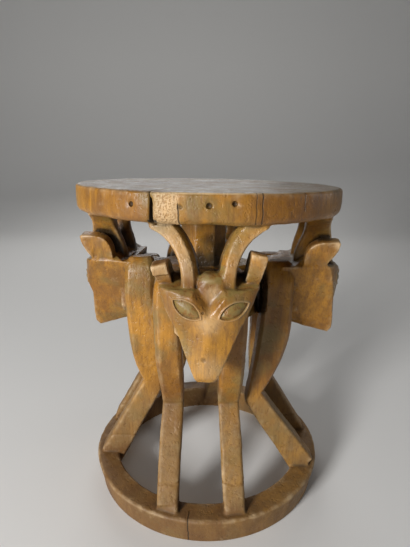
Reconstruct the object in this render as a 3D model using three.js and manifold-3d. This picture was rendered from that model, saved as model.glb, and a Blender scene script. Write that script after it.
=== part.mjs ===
// A round stool carved from one log: a thick seat on the horns of four antelope
// heads, a hub behind the heads, a pair of bent legs under each head and an open
// base ring. Millimetres, +Z up, the origin on the floor under the middle of the stool.
import * as THREE from 'three';
import { mergeVertices } from 'three/addons/utils/BufferGeometryUtils.js';
import Module from 'manifold-3d';

// Driving dimensions of the whole stool.
const STOOL_HEIGHT = 420;
const SEAT_RADIUS = 168;
const SEAT_THICKNESS = 32;
const SEAT_SINK = 6;
const SEAT_TILT = THREE.MathUtils.degToRad(0.8);
const RING_RADIUS_TOP = 164;
const RING_RADIUS_BOTTOM = 158;
const RING_BORE = 134.5;
const RING_HEIGHT = 36;
const ROUND_SIDES = 56;

// The seat's edges, and the old split through its rim.
const SEAT_LOWER_ROUND = 9;
const SEAT_UPPER_ROUND = 2.5;
const SPLIT_AZIMUTH = THREE.MathUtils.degToRad(-109.7);
const SPLIT_DEPTH = 44;
const SPLIT_WIDTH_LOW = 6;
const SPLIT_WIDTH_HIGH = 2.4;
const SPLIT_WIDTH_END = 0.8;
const CUT_MARGIN = 5;

// The hub that joins the four figures, and the post from the hub to the seat.
const HUB_RADIUS = 82;
const HUB_UNDERSIDE = 252;
const HUB_TOP = 308;
const HUB_EDGE = 10;
const HUB_SHIFT = -7;
const HUB_SIDES = 16;
const POST_RADIUS = 31;
const POST_SPREAD = 1.5;
const POST_FOOT = 296;
const POST_SIDES = 8;

// A figure's body, which runs out from the hub to the back of the head.
const BODY_HALF_WIDTH = 30;
const BODY_TOP_INNER = 309;
const BODY_UNDERSIDE_INNER = 254;
const BODY_UNDERSIDE_OUTER = 243;
const BODY_REACH = 118;
const BODY_RISE_FROM = 0.15;
const BODY_RISE_TO = 0.9;
const BODY_FLAT_SHARE = 0.6;
const BODY_EDGE_SHARE = 0.16;

// A leg: its thickness across, its knee and its foot on the ring.
const SHOULDER_ROUND = 32;
const SHOULDER_LEAN = 6;
const SHOULDER_DRAW = 7;
const SHOULDER_CROWN = 0.5;
const SHOULDER_ARC = THREE.MathUtils.degToRad(85);
const THIGH_TOP = 275;
const THIGH_OUTSIDE = 108.5;
const THIGH_INSIDE = 69;
const THIGH_BELLY = 195;
const THIGH_MIDDLE = 220;
const THIGH_HOLLOW = 7;
const THIGH_HALF_WIDTH = 16.5;
const THIGH_OFFSET = 39;
const KNEE_REACH = 79;
const KNEE_INSIDE = 56;
const KNEE_FOLLOW = 0.8;
const KNEE_DROP = 14;
const KNEE_HALF_WIDTH = 14;
const KNEE_OFFSET = 36.5;
const FOOT_HALF_WIDTH = 13;
const FOOT_OFFSET = 42;
const FOOT_OUTSIDE = 151;
const FOOT_INSIDE = 135;
const FOOT_TOP = 39;
const FOOT_SETBACK = 2.5;
const LEG_CHAMFER = 3;

// A head: a kite-shaped mask with slanting sides down to the chin, and a crown that
// rises from the brow to the ears and horns.
const BROW_REACH = 171;
const FACE_BOW_RADIUS = 80;
const HEAD_TOP = 321;
const HEAD_HALF_WIDTH = 52;
const HEAD_BACK = 98;
const CROWN_FRONT = 158;
const CROWN_RISE = 9;
const CROWN_SLOPE = 0.3;
const CROWN_SINK = 3;
const CROWN_INSET = 1;
const CROWN_BACK = 110;
const CROWN_BACK_SLOPE = 0.75;
const CROWN_SIDE_SLOPE = 1.2;
const CHIN_HEIGHT = 218;
const CHIN_HALF_WIDTH = 10;
const JAW_DRAW = 4.5;
const THROAT_HEIGHT = 235;
const JAW_SLOPE = 1.5;
const JAW_STEP = 2;
const CHEEK_HEIGHT = 283;
const CHEEK_HALF_WIDTH = 35;
const CHEEK_FLARE = 0.85;
const MUZZLE_HEIGHT = 268;
const FOREHEAD_TIP = 293;
const FOREHEAD_SLOPE = 0.8;
const FOREHEAD_SPREAD = 1.3;
const BROW_BEVEL = 8;
const BROW_BEVEL_FROM = 27;
const BROW_BEVEL_TO = 36;

// An eye: a sunk almond with a bulging ball in it.
const EYE_OFFSET = 24;
const EYE_SHIFT = 2;
const EYE_HEIGHT = 301.5;
const EYE_SLANT = THREE.MathUtils.degToRad(28);
const EYE_LENGTH = 32;
const EYE_OPENING = 15;
const EYE_SINK = 3;
const EYE_DEPTH = 12;
const EYE_BULGE = 3.5;
const EYEBALL_SINK = 5;
const EYEBALL_LENGTH_SHARE = 0.44;
const EYEBALL_OPENING_SHARE = 0.42;

// An ear: a thick upright paddle behind the corner of the brow, flush with the head's
// side at its root.
const EAR_THICKNESS = 16;
const EAR_ROOT_INSIDE = 36.5;
const EAR_TIP_INSIDE = 42;
const EAR_TIP_OUTSIDE = 58.5;
const EAR_FLARE = 0.7;
const EAR_FLUSH = 0.8;
const EAR_TIP_SLANT = 0.2;
const EAR_MIDDLE = 50;
const EAR_FRONT = 161;
const EAR_BACK = 121;
const EAR_ROOT = 305;
const EAR_SETBACK = 13;
const EAR_LIFT = 3;
const EAR_NECK_RISE = 13;
const EAR_TIP_ROUND = 14;
const EAR_BACK_RISE = 24;
const EAR_CHAMFER = 1.5;

// A horn: it rises beside the poll and bends outwards to the seat.
const HORN_ROOT = 300;
const HORN_FRONT = 149;
const HORN_BACK = 121;
const HORN_NECK_INNER = 10.2;
const HORN_NECK_OUTER = 28;
const HORN_TOP_INNER = 41;
const HORN_TOP_OUTER = 60.4;
const HORN_BEND_FLOOR = 325;
const HORN_BEND_TOP = 381;
const HORN_INNER_BEND = 366;
const HORN_OUTER_BEND = 367;
const HORN_CHAMFER = 2.5;
const HORN_FACET_DEPTH = 7;
const HORN_FACET_WIDTH = 5;
const HORN_LEAN = 10;
const HORN_LEAN_FROM = 330;
const HORN_LEAN_TO = 385;
const HORN_FLARE = 10;
const HORN_FLARE_FROM = 325;
const HORN_FLARE_TO = 368;
const POLL_TOP = 337;
const POLL_HALF_WIDTH = 14;
const POLL_REACH = 147;
const POLL_OFFSET = 3.5;
const POLL_HALF_LENGTH = 16.5;
const POLL_SINK = 7;

// The four figures differ a little: the azimuth of each, the turn of its head and how far
// it stands out, the reach of its muzzle, how far its chin and its legs stand aside, how
// far its jaw and eyes are lifted, where its knees are, and how high its ears, shoulders
// and body.
const FIGURES = [
  {
    azimuth: -90, headTurn: 0, headOut: 0, muzzleReach: 168, chinShift: -3, kneeShift: -9,
    footShift: -7, jawLift: 0, eyeLift: 0, kneeReaches: [79, 79], kneeHeight: 141,
    earTips: [347.5, 357.5], shoulderTops: [325, 325], bodyTop: 326,
  },
  {
    azimuth: 0, headTurn: -6, headOut: 2.5, muzzleReach: 169, chinShift: 1, kneeShift: -9,
    footShift: -16, jawLift: 1.5, eyeLift: 0, kneeReaches: [74, 90], kneeHeight: 143,
    earTips: [355, 354], shoulderTops: [325, 320], bodyTop: 321,
  },
  {
    azimuth: 94, headTurn: 0, headOut: 0, muzzleReach: 168, chinShift: 0, kneeShift: 4,
    footShift: 26, jawLift: 0, eyeLift: 0, kneeReaches: [79, 79], kneeHeight: 146,
    earTips: [355, 351], shoulderTops: [325, 325], bodyTop: 326,
  },
  {
    azimuth: 180, headTurn: -6, headOut: -3.5, muzzleReach: 165, chinShift: -1, kneeShift: -8,
    footShift: -15, jawLift: -2, eyeLift: -7, kneeReaches: [89, 89], kneeHeight: 152,
    earTips: [353, 357], shoulderTops: [313, 326], bodyTop: 316,
  },
];

const wasm = await Module();
wasm.setup();

// Turns a closed geometry into a solid that can be cut and joined.
function toSolid(geometry) {
  const bare = geometry.clone();
  bare.deleteAttribute('normal');
  bare.deleteAttribute('uv');
  const merged = mergeVertices(bare, 1e-4);
  return new wasm.Manifold(new wasm.Mesh({
    numProp: 3,
    vertProperties: new Float32Array(merged.attributes.position.array),
    triVerts: new Uint32Array(merged.index.array),
  }));
}

// Turns a finished solid back into a geometry with flat-shaded faces.
function toGeometry(solid) {
  const mesh = solid.getMesh();
  const geometry = new THREE.BufferGeometry();
  geometry.setAttribute('position', new THREE.BufferAttribute(mesh.vertProperties, 3));
  geometry.setIndex(new THREE.BufferAttribute(mesh.triVerts, 1));
  return geometry;
}

// Six times the volume that a triangle mesh encloses; negative if it is inside out.
function signedVolume(points, triangles) {
  let sum = 0;
  for (let i = 0; i < triangles.length; i += 3) {
    const [a, b, c] = [points[triangles[i]], points[triangles[i + 1]], points[triangles[i + 2]]];
    sum += a.dot(new THREE.Vector3().crossVectors(b, c));
  }
  return sum;
}

// A closed skin over a row of rings that all have the same number of points.
function skin(rings) {
  const count = rings[0].length;
  const points = rings.flat();
  const triangles = [];
  for (let r = 0; r + 1 < rings.length; r += 1) {
    for (let i = 0; i < count; i += 1) {
      const next = (i + 1) % count;
      const [a, b] = [r * count + i, r * count + next];
      const [c, d] = [a + count, b + count];
      triangles.push(a, b, d, a, d, c);
    }
  }
  for (const [start, first, second] of [[0, 1, 0], [(rings.length - 1) * count, 0, 1]]) {
    const middle = new THREE.Vector3();
    for (let i = 0; i < count; i += 1) middle.addScaledVector(points[start + i], 1 / count);
    const hub = points.push(middle) - 1;
    for (let i = 0; i < count; i += 1) {
      const edge = [start + i, start + ((i + 1) % count)];
      triangles.push(hub, edge[first], edge[second]);
    }
  }
  if (signedVolume(points, triangles) < 0) triangles.reverse();
  const geometry = new THREE.BufferGeometry();
  geometry.setAttribute('position',
    new THREE.Float32BufferAttribute(points.flatMap((p) => [p.x, p.y, p.z]), 3));
  geometry.setIndex(triangles);
  return geometry;
}

// A level rectangle with cut corners, from inside to outside and side to side.
function cutRectangle(inside, outside, middle, halfWidth, chamfer, z) {
  const cut = Math.min(chamfer, halfWidth * 0.6, (outside - inside) * 0.3);
  const [near, far] = [middle - halfWidth, middle + halfWidth];
  return [
    [outside - cut, near], [outside, near + cut], [outside, far - cut], [outside - cut, far],
    [inside + cut, far], [inside, far - cut], [inside, near + cut], [inside + cut, near],
  ].map(([x, y]) => new THREE.Vector3(x, y, z));
}

const mix = THREE.MathUtils.lerp;
const smooth = THREE.MathUtils.smoothstep;

// The point at share s of a curve that leaves a towards b and arrives at c.
function bend(a, b, c, s) {
  const path = new THREE.QuadraticBezierCurve(
    new THREE.Vector2(...a), new THREE.Vector2(...b), new THREE.Vector2(...c));
  return path.getPoint(s);
}

// How far out a curved edge lies at a height, by halving the curve's parameter.
function reachAtHeight(a, b, c, z) {
  let [low, high] = [0, 1];
  for (let step = 0; step < 30; step += 1) {
    const middle = (low + high) / 2;
    if (bend(a, b, c, middle).y > z) low = middle;
    else high = middle;
  }
  return bend(a, b, c, low).x;
}

// A disc or ring turned round the upright axis from its half section.
function turned(section) {
  const points = section.map(([r, z]) => new THREE.Vector2(r, z));
  const geometry = new THREE.LatheGeometry(points, ROUND_SIDES);
  geometry.rotateX(Math.PI / 2);
  const flipped = geometry.index.array;
  const positions = [];
  for (let i = 0; i < geometry.attributes.position.count; i += 1) {
    positions.push(new THREE.Vector3().fromBufferAttribute(geometry.attributes.position, i));
  }
  if (signedVolume(positions, flipped) < 0) flipped.reverse();
  return toSolid(geometry);
}

// What lies inside the ring's outer face, so that no foot stands out of it.
const insideRing = turned([
  [0, -1], [RING_RADIUS_BOTTOM - FOOT_SETBACK, -1], [RING_RADIUS_TOP - FOOT_SETBACK, RING_HEIGHT],
  [RING_RADIUS_TOP - FOOT_SETBACK, STOOL_HEIGHT], [0, STOOL_HEIGHT],
]);

// One leg from the shoulder down to the ring. side is -1 or 1.
function makeLeg(figure, side) {
  const kneeReach = figure.kneeReaches[(side + 1) / 2];
  const kneeFloor = figure.kneeHeight - KNEE_DROP;
  const heights = [1, FOOT_TOP, kneeFloor, (kneeFloor + figure.kneeHeight) / 2,
    figure.kneeHeight];
  const thighSteps = 5;
  for (let step = 1; step <= thighSteps; step += 1) {
    heights.push(mix(figure.kneeHeight, THIGH_TOP, step / thighSteps));
  }
  const roundSteps = 3;
  const roundFloor = figure.shoulderTops[(side + 1) / 2] - SHOULDER_ROUND;
  for (let step = 0; step <= roundSteps; step += 1) {
    heights.push(roundFloor + SHOULDER_ROUND * Math.sin(SHOULDER_ARC * step / roundSteps));
  }
  const outsideAt = (z) => {
    if (z <= FOOT_TOP) return FOOT_OUTSIDE;
    if (z <= figure.kneeHeight) {
      return mix(kneeReach, FOOT_OUTSIDE,
        (figure.kneeHeight - z) / (figure.kneeHeight - FOOT_TOP));
    }
    if (z >= THIGH_TOP) return THIGH_OUTSIDE;
    return reachAtHeight([THIGH_OUTSIDE, THIGH_TOP], [THIGH_OUTSIDE, THIGH_BELLY],
      [kneeReach, figure.kneeHeight], z);
  };
  const insideAt = (z) => {
    const knee = KNEE_INSIDE + (kneeReach - KNEE_REACH) * KNEE_FOLLOW;
    if (z <= kneeFloor) return mix(knee, FOOT_INSIDE, (kneeFloor - z) / kneeFloor);
    if (z >= THIGH_TOP) return THIGH_INSIDE;
    return reachAtHeight([THIGH_INSIDE, THIGH_TOP], [THIGH_INSIDE - THIGH_HOLLOW, THIGH_BELLY],
      [knee, kneeFloor], z);
  };
  const rings = heights.map((z) => {
    const drop = THREE.MathUtils.clamp((figure.kneeHeight - z) / figure.kneeHeight, 0, 1);
    const swell = smooth(z, figure.kneeHeight, THIGH_MIDDLE);
    const crown = THREE.MathUtils.clamp((z - roundFloor) / SHOULDER_ROUND, 0, 1);
    const shrink = Math.sqrt(1 - crown * crown);
    const middle = mix(KNEE_OFFSET, FOOT_OFFSET, drop) + (THIGH_OFFSET - KNEE_OFFSET) * swell;
    const shift = mix(figure.kneeShift, figure.footShift, drop);
    const widest = mix(KNEE_HALF_WIDTH, FOOT_HALF_WIDTH, drop)
      + (THIGH_HALF_WIDTH - KNEE_HALF_WIDTH) * swell;
    const lean = (1 - shrink) * SHOULDER_LEAN;
    const draw = (1 - shrink) * SHOULDER_DRAW;
    return cutRectangle(insideAt(z) + draw, outsideAt(z) - draw,
      side * (middle - lean) + shift, widest * mix(SHOULDER_CROWN, 1, shrink), LEG_CHAMFER, z);
  });
  return toSolid(skin(rings)).intersect(insideRing);
}

// The body behind the head, between the two shoulders.
function makeBody(figure) {
  const rings = [];
  const steps = 4;
  for (let step = 0; step <= steps; step += 1) {
    const share = step / steps;
    const reach = mix(0, BODY_REACH, share);
    const rise = smooth(share, BODY_RISE_FROM, BODY_RISE_TO);
    const top = mix(BODY_TOP_INNER, figure.bodyTop, rise);
    const floor = mix(BODY_UNDERSIDE_INNER, BODY_UNDERSIDE_OUTER, share);
    const edge = (top - floor) * BODY_EDGE_SHARE;
    const [half, flat] = [BODY_HALF_WIDTH, BODY_HALF_WIDTH * BODY_FLAT_SHARE];
    rings.push([
      [-half, floor + edge], [-flat, floor], [flat, floor], [half, floor + edge],
      [half, top - edge], [flat, top], [-flat, top], [-half, top - edge],
    ].map(([y, z]) => new THREE.Vector3(reach, y + figure.kneeShift * share, z)));
  }
  return toSolid(skin(rings));
}

// How far out the front of the face lies, at a place across and a height.
function faceReach(figure, across, z) {
  const muzzle = mix(figure.muzzleReach, BROW_REACH, smooth(z, MUZZLE_HEIGHT, FOREHEAD_TIP));
  const jaw = JAW_DRAW * (1 - smooth(z, CHIN_HEIGHT, CHIN_HEIGHT + 2 * JAW_DRAW));
  const bow = FACE_BOW_RADIUS - Math.sqrt(FACE_BOW_RADIUS ** 2 - across ** 2);
  const forehead = FOREHEAD_SLOPE
    * Math.max(0, z - FOREHEAD_TIP - FOREHEAD_SPREAD * Math.abs(across));
  const bevel = BROW_BEVEL * (1 - smooth(Math.abs(across), BROW_BEVEL_FROM, BROW_BEVEL_TO));
  const brow = Math.max(0, z - HEAD_TOP + bevel);
  return figure.headOut + muzzle - jaw - bow - Math.max(forehead, brow);
}

// Half the width of the face at a height: straight from chin to cheek to brow.
function faceHalfWidth(z) {
  if (z < CHEEK_HEIGHT) {
    const share = (z - CHIN_HEIGHT) / (CHEEK_HEIGHT - CHIN_HEIGHT);
    return mix(CHIN_HALF_WIDTH, CHEEK_HALF_WIDTH, Math.max(0, share));
  }
  const share = (z - CHEEK_HEIGHT) / (HEAD_TOP - CHEEK_HEIGHT);
  return mix(CHEEK_HALF_WIDTH, HEAD_HALF_WIDTH, Math.pow(share, CHEEK_FLARE));
}

// The head without ears, horns and eyes.
function makeMask(figure) {
  const rings = [];
  const rows = 12;
  const columns = 8;
  for (let row = 0; row <= rows; row += 1) {
    const z = mix(CHIN_HEIGHT, HEAD_TOP, row / rows);
    const halfWidth = faceHalfWidth(z);
    const ring = [];
    for (let column = 0; column <= columns; column += 1) {
      const across = mix(-halfWidth, halfWidth, column / columns);
      ring.push(new THREE.Vector3(faceReach(figure, across, z), across, z));
    }
    for (const across of [halfWidth, -halfWidth]) {
      ring.push(new THREE.Vector3(HEAD_BACK, across, z));
    }
    const shift = figure.chinShift * (HEAD_TOP - z) / (HEAD_TOP - CHIN_HEIGHT);
    for (const point of ring) point.y += shift;
    rings.push(ring);
  }
  const front = figure.headOut + figure.muzzleReach - JAW_DRAW;
  for (const ring of rings) {
    for (const point of ring) {
      point.z += figure.jawLift * (1 - smooth(point.z, CHIN_HEIGHT, CHEEK_HEIGHT));
    }
  }
  for (const [row, ring] of rings.slice(0, 3).entries()) {
    for (const point of ring) {
      const along = JAW_SLOPE * (front - point.x) / (front - HEAD_BACK);
      const jawHeight = mix(CHIN_HEIGHT, THROAT_HEIGHT, THREE.MathUtils.clamp(along, 0, 1));
      point.z = Math.max(point.z, figure.jawLift + jawHeight + row * JAW_STEP);
    }
  }
  return toSolid(skin(rings));
}

// The top of the head, which rises from the brow to the ears and horns.
function makeCrown(figure) {
  const columns = 4;
  const widest = HEAD_HALF_WIDTH - CROWN_INSET;
  const rings = [-CROWN_SINK, 0, CROWN_RISE].map((rise) => {
    const z = HEAD_TOP + rise;
    const lifted = Math.max(0, rise);
    const ring = [];
    for (let column = 0; column <= columns; column += 1) {
      const across = mix(-widest, widest, column / columns);
      const face = faceReach(figure, across, HEAD_TOP) - EAR_FLUSH;
      const front = CROWN_FRONT + figure.headOut - lifted / CROWN_SLOPE;
      ring.push(new THREE.Vector3(Math.min(front, face), across, z));
    }
    const half = widest - CROWN_SIDE_SLOPE * lifted;
    for (const across of [half, -half]) {
      const back = CROWN_BACK + figure.headOut + lifted / CROWN_BACK_SLOPE;
      ring.push(new THREE.Vector3(back, across, z));
    }
    return ring;
  });
  return toSolid(skin(rings));
}

// Places a shape that is drawn around the origin at one eye, looking outwards.
function atEye(geometry, figure, side, sink) {
  const [offset, height] = [EYE_OFFSET + side * EYE_SHIFT, EYE_HEIGHT + figure.eyeLift];
  geometry.rotateX(side * EYE_SLANT);
  geometry.rotateZ(side * Math.asin(offset / FACE_BOW_RADIUS));
  geometry.translate(faceReach(figure, offset, height) - sink, side * offset, height);
  return toSolid(geometry);
}

// The almond that is sunk round an eye: two arcs that meet in points.
function makeEyeSocket(figure, side) {
  const [half, rise] = [EYE_LENGTH / 2, EYE_OPENING / 2];
  const radius = (half * half + rise * rise) / (2 * rise);
  const turn = Math.asin(half / radius);
  const almond = new THREE.Shape();
  const arcSteps = 5;
  for (const sign of [1, -1]) {
    for (let step = 0; step < arcSteps; step += 1) {
      const angle = mix(-turn, turn, step / arcSteps);
      const [along, above] = [radius * Math.sin(angle), radius * Math.cos(angle) - radius + rise];
      if (sign > 0 && step === 0) almond.moveTo(along, above);
      else almond.lineTo(sign * along, sign * above);
    }
  }
  almond.closePath();
  const socket = new THREE.ExtrudeGeometry(almond, { depth: EYE_DEPTH, bevelEnabled: false });
  socket.rotateY(Math.PI / 2);
  socket.rotateX(Math.PI / 2);
  return atEye(socket, figure, side, EYE_SINK);
}

// The ball of an eye.
function makeEyeball(figure, side) {
  const ball = new THREE.SphereGeometry(1, 10, 8);
  ball.scale(EYE_BULGE + EYEBALL_SINK, EYE_LENGTH * EYEBALL_LENGTH_SHARE,
    EYE_OPENING * EYEBALL_OPENING_SHARE);
  return atEye(ball, figure, side, EYEBALL_SINK);
}

// The inner and the outer face of an ear at a height.
function earSpan(z, tip) {
  const rise = THREE.MathUtils.clamp((z - HEAD_TOP) / (tip - HEAD_TOP), 0, 1);
  const inner = mix(EAR_ROOT_INSIDE, EAR_TIP_INSIDE, rise);
  if (z < HEAD_TOP) return [inner, faceHalfWidth(z) - EAR_FLUSH];
  return [inner, mix(HEAD_HALF_WIDTH - EAR_FLUSH, EAR_TIP_OUTSIDE, Math.pow(rise, EAR_FLARE))];
}

// An ear, seen from the side: its front edge leans out to the tip, its back is round.
function makeEar(figure, side) {
  const tip = figure.earTips[(side + 1) / 2];
  const outline = new THREE.Shape();
  outline.moveTo(EAR_BACK, EAR_ROOT);
  outline.lineTo(EAR_FRONT - EAR_SETBACK, EAR_ROOT);
  outline.lineTo(EAR_FRONT - EAR_SETBACK, HEAD_TOP + EAR_LIFT);
  outline.lineTo(EAR_FRONT - EAR_SETBACK / 2, HEAD_TOP + EAR_NECK_RISE);
  outline.lineTo(EAR_FRONT, tip - EAR_TIP_ROUND);
  outline.quadraticCurveTo(EAR_FRONT, tip, EAR_FRONT - EAR_TIP_ROUND / 2, tip);
  outline.lineTo(EAR_FRONT - EAR_TIP_ROUND, tip);
  outline.quadraticCurveTo(EAR_BACK, tip, EAR_BACK, EAR_ROOT + EAR_BACK_RISE);
  outline.closePath();
  const ear = new THREE.ExtrudeGeometry(outline, {
    depth: EAR_THICKNESS - 2 * EAR_CHAMFER,
    bevelThickness: EAR_CHAMFER,
    bevelSize: EAR_CHAMFER,
    bevelOffset: -EAR_CHAMFER,
    bevelSegments: 1,
    curveSegments: 3,
  });
  ear.translate(figure.headOut, 0, EAR_CHAMFER - EAR_THICKNESS / 2);
  ear.rotateX(Math.PI / 2);
  const positions = ear.attributes.position;
  for (let i = 0; i < positions.count; i += 1) {
    const z = positions.getZ(i);
    const share = side * positions.getY(i) / EAR_THICKNESS + 0.5;
    const across = mix(...earSpan(z, tip), share);
    positions.setY(i, side * across);
    positions.setZ(i, z - EAR_TIP_SLANT * (across - EAR_MIDDLE) * smooth(z, HEAD_TOP, tip));
  }
  return toSolid(ear);
}

// A horn: upright at first, then bent outwards, and upright again under the seat. Its
// inner corners are cut by broad facets.
function makeHorn(figure, side) {
  const end = STOOL_HEIGHT - SEAT_THICKNESS + SEAT_SINK;
  const heights = [HORN_ROOT, HORN_BEND_FLOOR];
  const steps = 4;
  for (let step = 1; step <= steps; step += 1) {
    heights.push(mix(HORN_BEND_FLOOR, HORN_BEND_TOP, step / steps));
  }
  heights.push(end);
  const rings = heights.map((z) => {
    const inner = reachAtHeight([HORN_TOP_INNER, end], [HORN_NECK_INNER, HORN_INNER_BEND],
      [HORN_NECK_INNER, HORN_BEND_FLOOR], z);
    const outer = reachAtHeight([HORN_TOP_OUTER, HORN_BEND_TOP],
      [HORN_NECK_OUTER, HORN_OUTER_BEND], [HORN_NECK_OUTER, HORN_BEND_FLOOR], z);
    const lean = HORN_LEAN * (1 - smooth(z, HORN_LEAN_FROM, HORN_LEAN_TO));
    const flare = HORN_FLARE * (1 - smooth(z, HORN_FLARE_FROM, HORN_FLARE_TO));
    const front = figure.headOut + HORN_FRONT + lean;
    const back = figure.headOut + HORN_BACK - flare;
    return [
      [front - HORN_FACET_DEPTH, inner], [front, inner + HORN_FACET_WIDTH],
      [front, outer - HORN_CHAMFER], [front - HORN_CHAMFER, outer],
      [back + HORN_CHAMFER, outer], [back, outer - HORN_CHAMFER],
      [back, inner + HORN_FACET_WIDTH], [back + HORN_FACET_DEPTH, inner],
    ].map(([reach, across]) => new THREE.Vector3(reach, side * across, z));
  });
  return toSolid(skin(rings));
}

// The rounded poll between the horns.
function makePoll(figure) {
  const poll = new THREE.SphereGeometry(1, 10, 8);
  poll.rotateX(Math.PI / 2);
  poll.scale(POLL_HALF_LENGTH, POLL_HALF_WIDTH, POLL_TOP - HEAD_TOP + POLL_SINK);
  poll.translate(POLL_REACH + figure.headOut, POLL_OFFSET, HEAD_TOP - POLL_SINK);
  return toSolid(poll);
}

// One figure with its head, body and legs, turned to its place round the stool.
function makeFigure(figure) {
  let head = makeMask(figure).add(makeCrown(figure)).add(makePoll(figure));
  for (const side of [-1, 1]) {
    head = head.subtract(makeEyeSocket(figure, side)).add(makeEyeball(figure, side));
    head = head.add(makeEar(figure, side)).add(makeHorn(figure, side));
  }
  let whole = head.rotate([0, 0, figure.headTurn]).add(makeBody(figure));
  for (const side of [-1, 1]) whole = whole.add(makeLeg(figure, side));
  return whole.rotate([0, 0, figure.azimuth]);
}

// The thick seat, a little lower on its right, with its rounded lower edge and the
// old split through its rim.
function makeSeat() {
  const underside = STOOL_HEIGHT - SEAT_THICKNESS;
  const section = [[0, underside], [SEAT_RADIUS - SEAT_LOWER_ROUND, underside]];
  const arcSteps = 3;
  for (let step = 1; step <= arcSteps; step += 1) {
    const turn = (step / arcSteps) * Math.PI / 2;
    section.push([SEAT_RADIUS - SEAT_LOWER_ROUND * (1 - Math.sin(turn)),
      underside + SEAT_LOWER_ROUND * (1 - Math.cos(turn))]);
  }
  section.push([SEAT_RADIUS, STOOL_HEIGHT - SEAT_UPPER_ROUND]);
  section.push([SEAT_RADIUS - SEAT_UPPER_ROUND, STOOL_HEIGHT], [0, STOOL_HEIGHT]);
  const splitRing = (z, width) => {
    const [end, mouth] = [SEAT_RADIUS - SPLIT_DEPTH, SEAT_RADIUS + CUT_MARGIN];
    return [[end, SPLIT_WIDTH_END], [mouth, width], [mouth, -width], [end, -SPLIT_WIDTH_END]]
      .map(([x, across]) => new THREE.Vector3(x, across / 2, z));
  };
  const split = skin([
    splitRing(underside - CUT_MARGIN, SPLIT_WIDTH_LOW),
    splitRing(STOOL_HEIGHT + CUT_MARGIN, SPLIT_WIDTH_HIGH),
  ]);
  split.rotateZ(SPLIT_AZIMUTH);
  const drop = -Math.sin(SEAT_TILT) * SEAT_RADIUS;
  const tilt = new THREE.Matrix4().makeRotationY(SEAT_TILT);
  return turned(section).subtract(toSolid(split))
    .translate([0, 0, -STOOL_HEIGHT])
    .transform(tilt.elements)
    .translate([0, 0, STOOL_HEIGHT + drop]);
}

// The open base ring.
function makeRing() {
  const edge = 2;
  return turned([
    [RING_BORE, 0], [RING_RADIUS_BOTTOM - edge, 0], [RING_RADIUS_BOTTOM, edge],
    [RING_RADIUS_TOP, RING_HEIGHT - edge], [RING_RADIUS_TOP - edge, RING_HEIGHT],
    [RING_BORE, RING_HEIGHT], [RING_BORE, 0],
  ]);
}

// The hub in the middle and the hewn eight-sided post on it.
function makeHub() {
  const hubHeight = HUB_TOP - HUB_UNDERSIDE;
  const hub = new THREE.CylinderGeometry(HUB_RADIUS - HUB_EDGE, HUB_RADIUS, hubHeight, HUB_SIDES);
  hub.rotateX(Math.PI / 2);
  hub.translate(0, 0, (HUB_TOP + HUB_UNDERSIDE) / 2);
  const underside = STOOL_HEIGHT - SEAT_THICKNESS;
  const postHeight = underside + SEAT_SINK - POST_FOOT;
  const post = new THREE.CylinderGeometry(POST_RADIUS, POST_RADIUS + POST_SPREAD, postHeight,
    POST_SIDES);
  post.rotateX(Math.PI / 2);
  post.rotateZ(Math.PI / POST_SIDES / 2);
  post.translate(0, 0, POST_FOOT + postHeight / 2);
  return toSolid(hub).add(toSolid(post)).translate([HUB_SHIFT, 0, 0]);
}

let stool = makeSeat().add(makeHub()).add(makeRing());
for (const figure of FIGURES) stool = stool.add(makeFigure(figure));

// The heads do not all stand out equally far, so the stool is centred as a whole.
const extent = stool.boundingBox();
const [middleX, middleY] = [0, 1].map((axis) => (extent.min[axis] + extent.max[axis]) / 2);
stool = stool.translate([-middleX, -middleY, 0]);

const polishedWood = new THREE.MeshStandardMaterial({
  name: 'polished_wood',
  color: new THREE.Color('#a8773a'),
  roughness: 0.5,
  metalness: 0,
  flatShading: true,
});
const carvedStool = new THREE.Mesh(toGeometry(stool), polishedWood);
carvedStool.name = 'carved_stool';

const group = new THREE.Group();
group.name = 'antelope_stool';
group.add(carvedStool);

export default group;
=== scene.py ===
"""A round stool carved from one log: a thick seat on the horns of four antelope heads,
bent legs under each head and an open base ring, with its studio stage."""
import math

import bmesh
import bpy
import numpy as np
from mathutils import Matrix, Vector
from mathutils.bvhtree import BVHTree
from mathutils.kdtree import KDTree


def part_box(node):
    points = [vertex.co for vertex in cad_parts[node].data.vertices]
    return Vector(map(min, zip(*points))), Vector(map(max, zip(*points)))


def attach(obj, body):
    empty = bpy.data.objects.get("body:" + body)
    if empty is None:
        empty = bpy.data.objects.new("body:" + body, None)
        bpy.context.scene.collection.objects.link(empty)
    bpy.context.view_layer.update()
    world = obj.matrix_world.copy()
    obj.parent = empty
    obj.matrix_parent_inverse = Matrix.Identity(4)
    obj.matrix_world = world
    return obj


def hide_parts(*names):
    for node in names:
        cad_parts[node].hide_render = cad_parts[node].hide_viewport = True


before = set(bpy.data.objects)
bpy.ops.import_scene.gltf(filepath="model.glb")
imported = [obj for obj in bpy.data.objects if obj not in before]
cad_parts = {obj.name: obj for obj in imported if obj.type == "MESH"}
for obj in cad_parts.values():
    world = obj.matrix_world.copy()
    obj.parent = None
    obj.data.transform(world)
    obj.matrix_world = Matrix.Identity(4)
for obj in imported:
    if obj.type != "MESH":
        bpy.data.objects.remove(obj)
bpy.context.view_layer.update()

bl_info = {
    "name": "Carved Antelope Stool",
    "version": (1, 0, 0),
    "blender": (4, 5, 0),
    "location": "View3D > Sidebar > Stool",
    "description": "Carves a one-log stool with four antelope heads, and sets its stage",
    "category": "Add Mesh",
}

NODE = "carved_stool"
PIECE = "carved_antelope_stool"
CAD_LOW, CAD_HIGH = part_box(NODE)
MM = 0.001

# Shapes in millimetres round the ring's own upright axis: +Z up, the floor at z = 0.
# A figure's own axes are reach (outwards), across (to its left when it looks out) and z.

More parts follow.
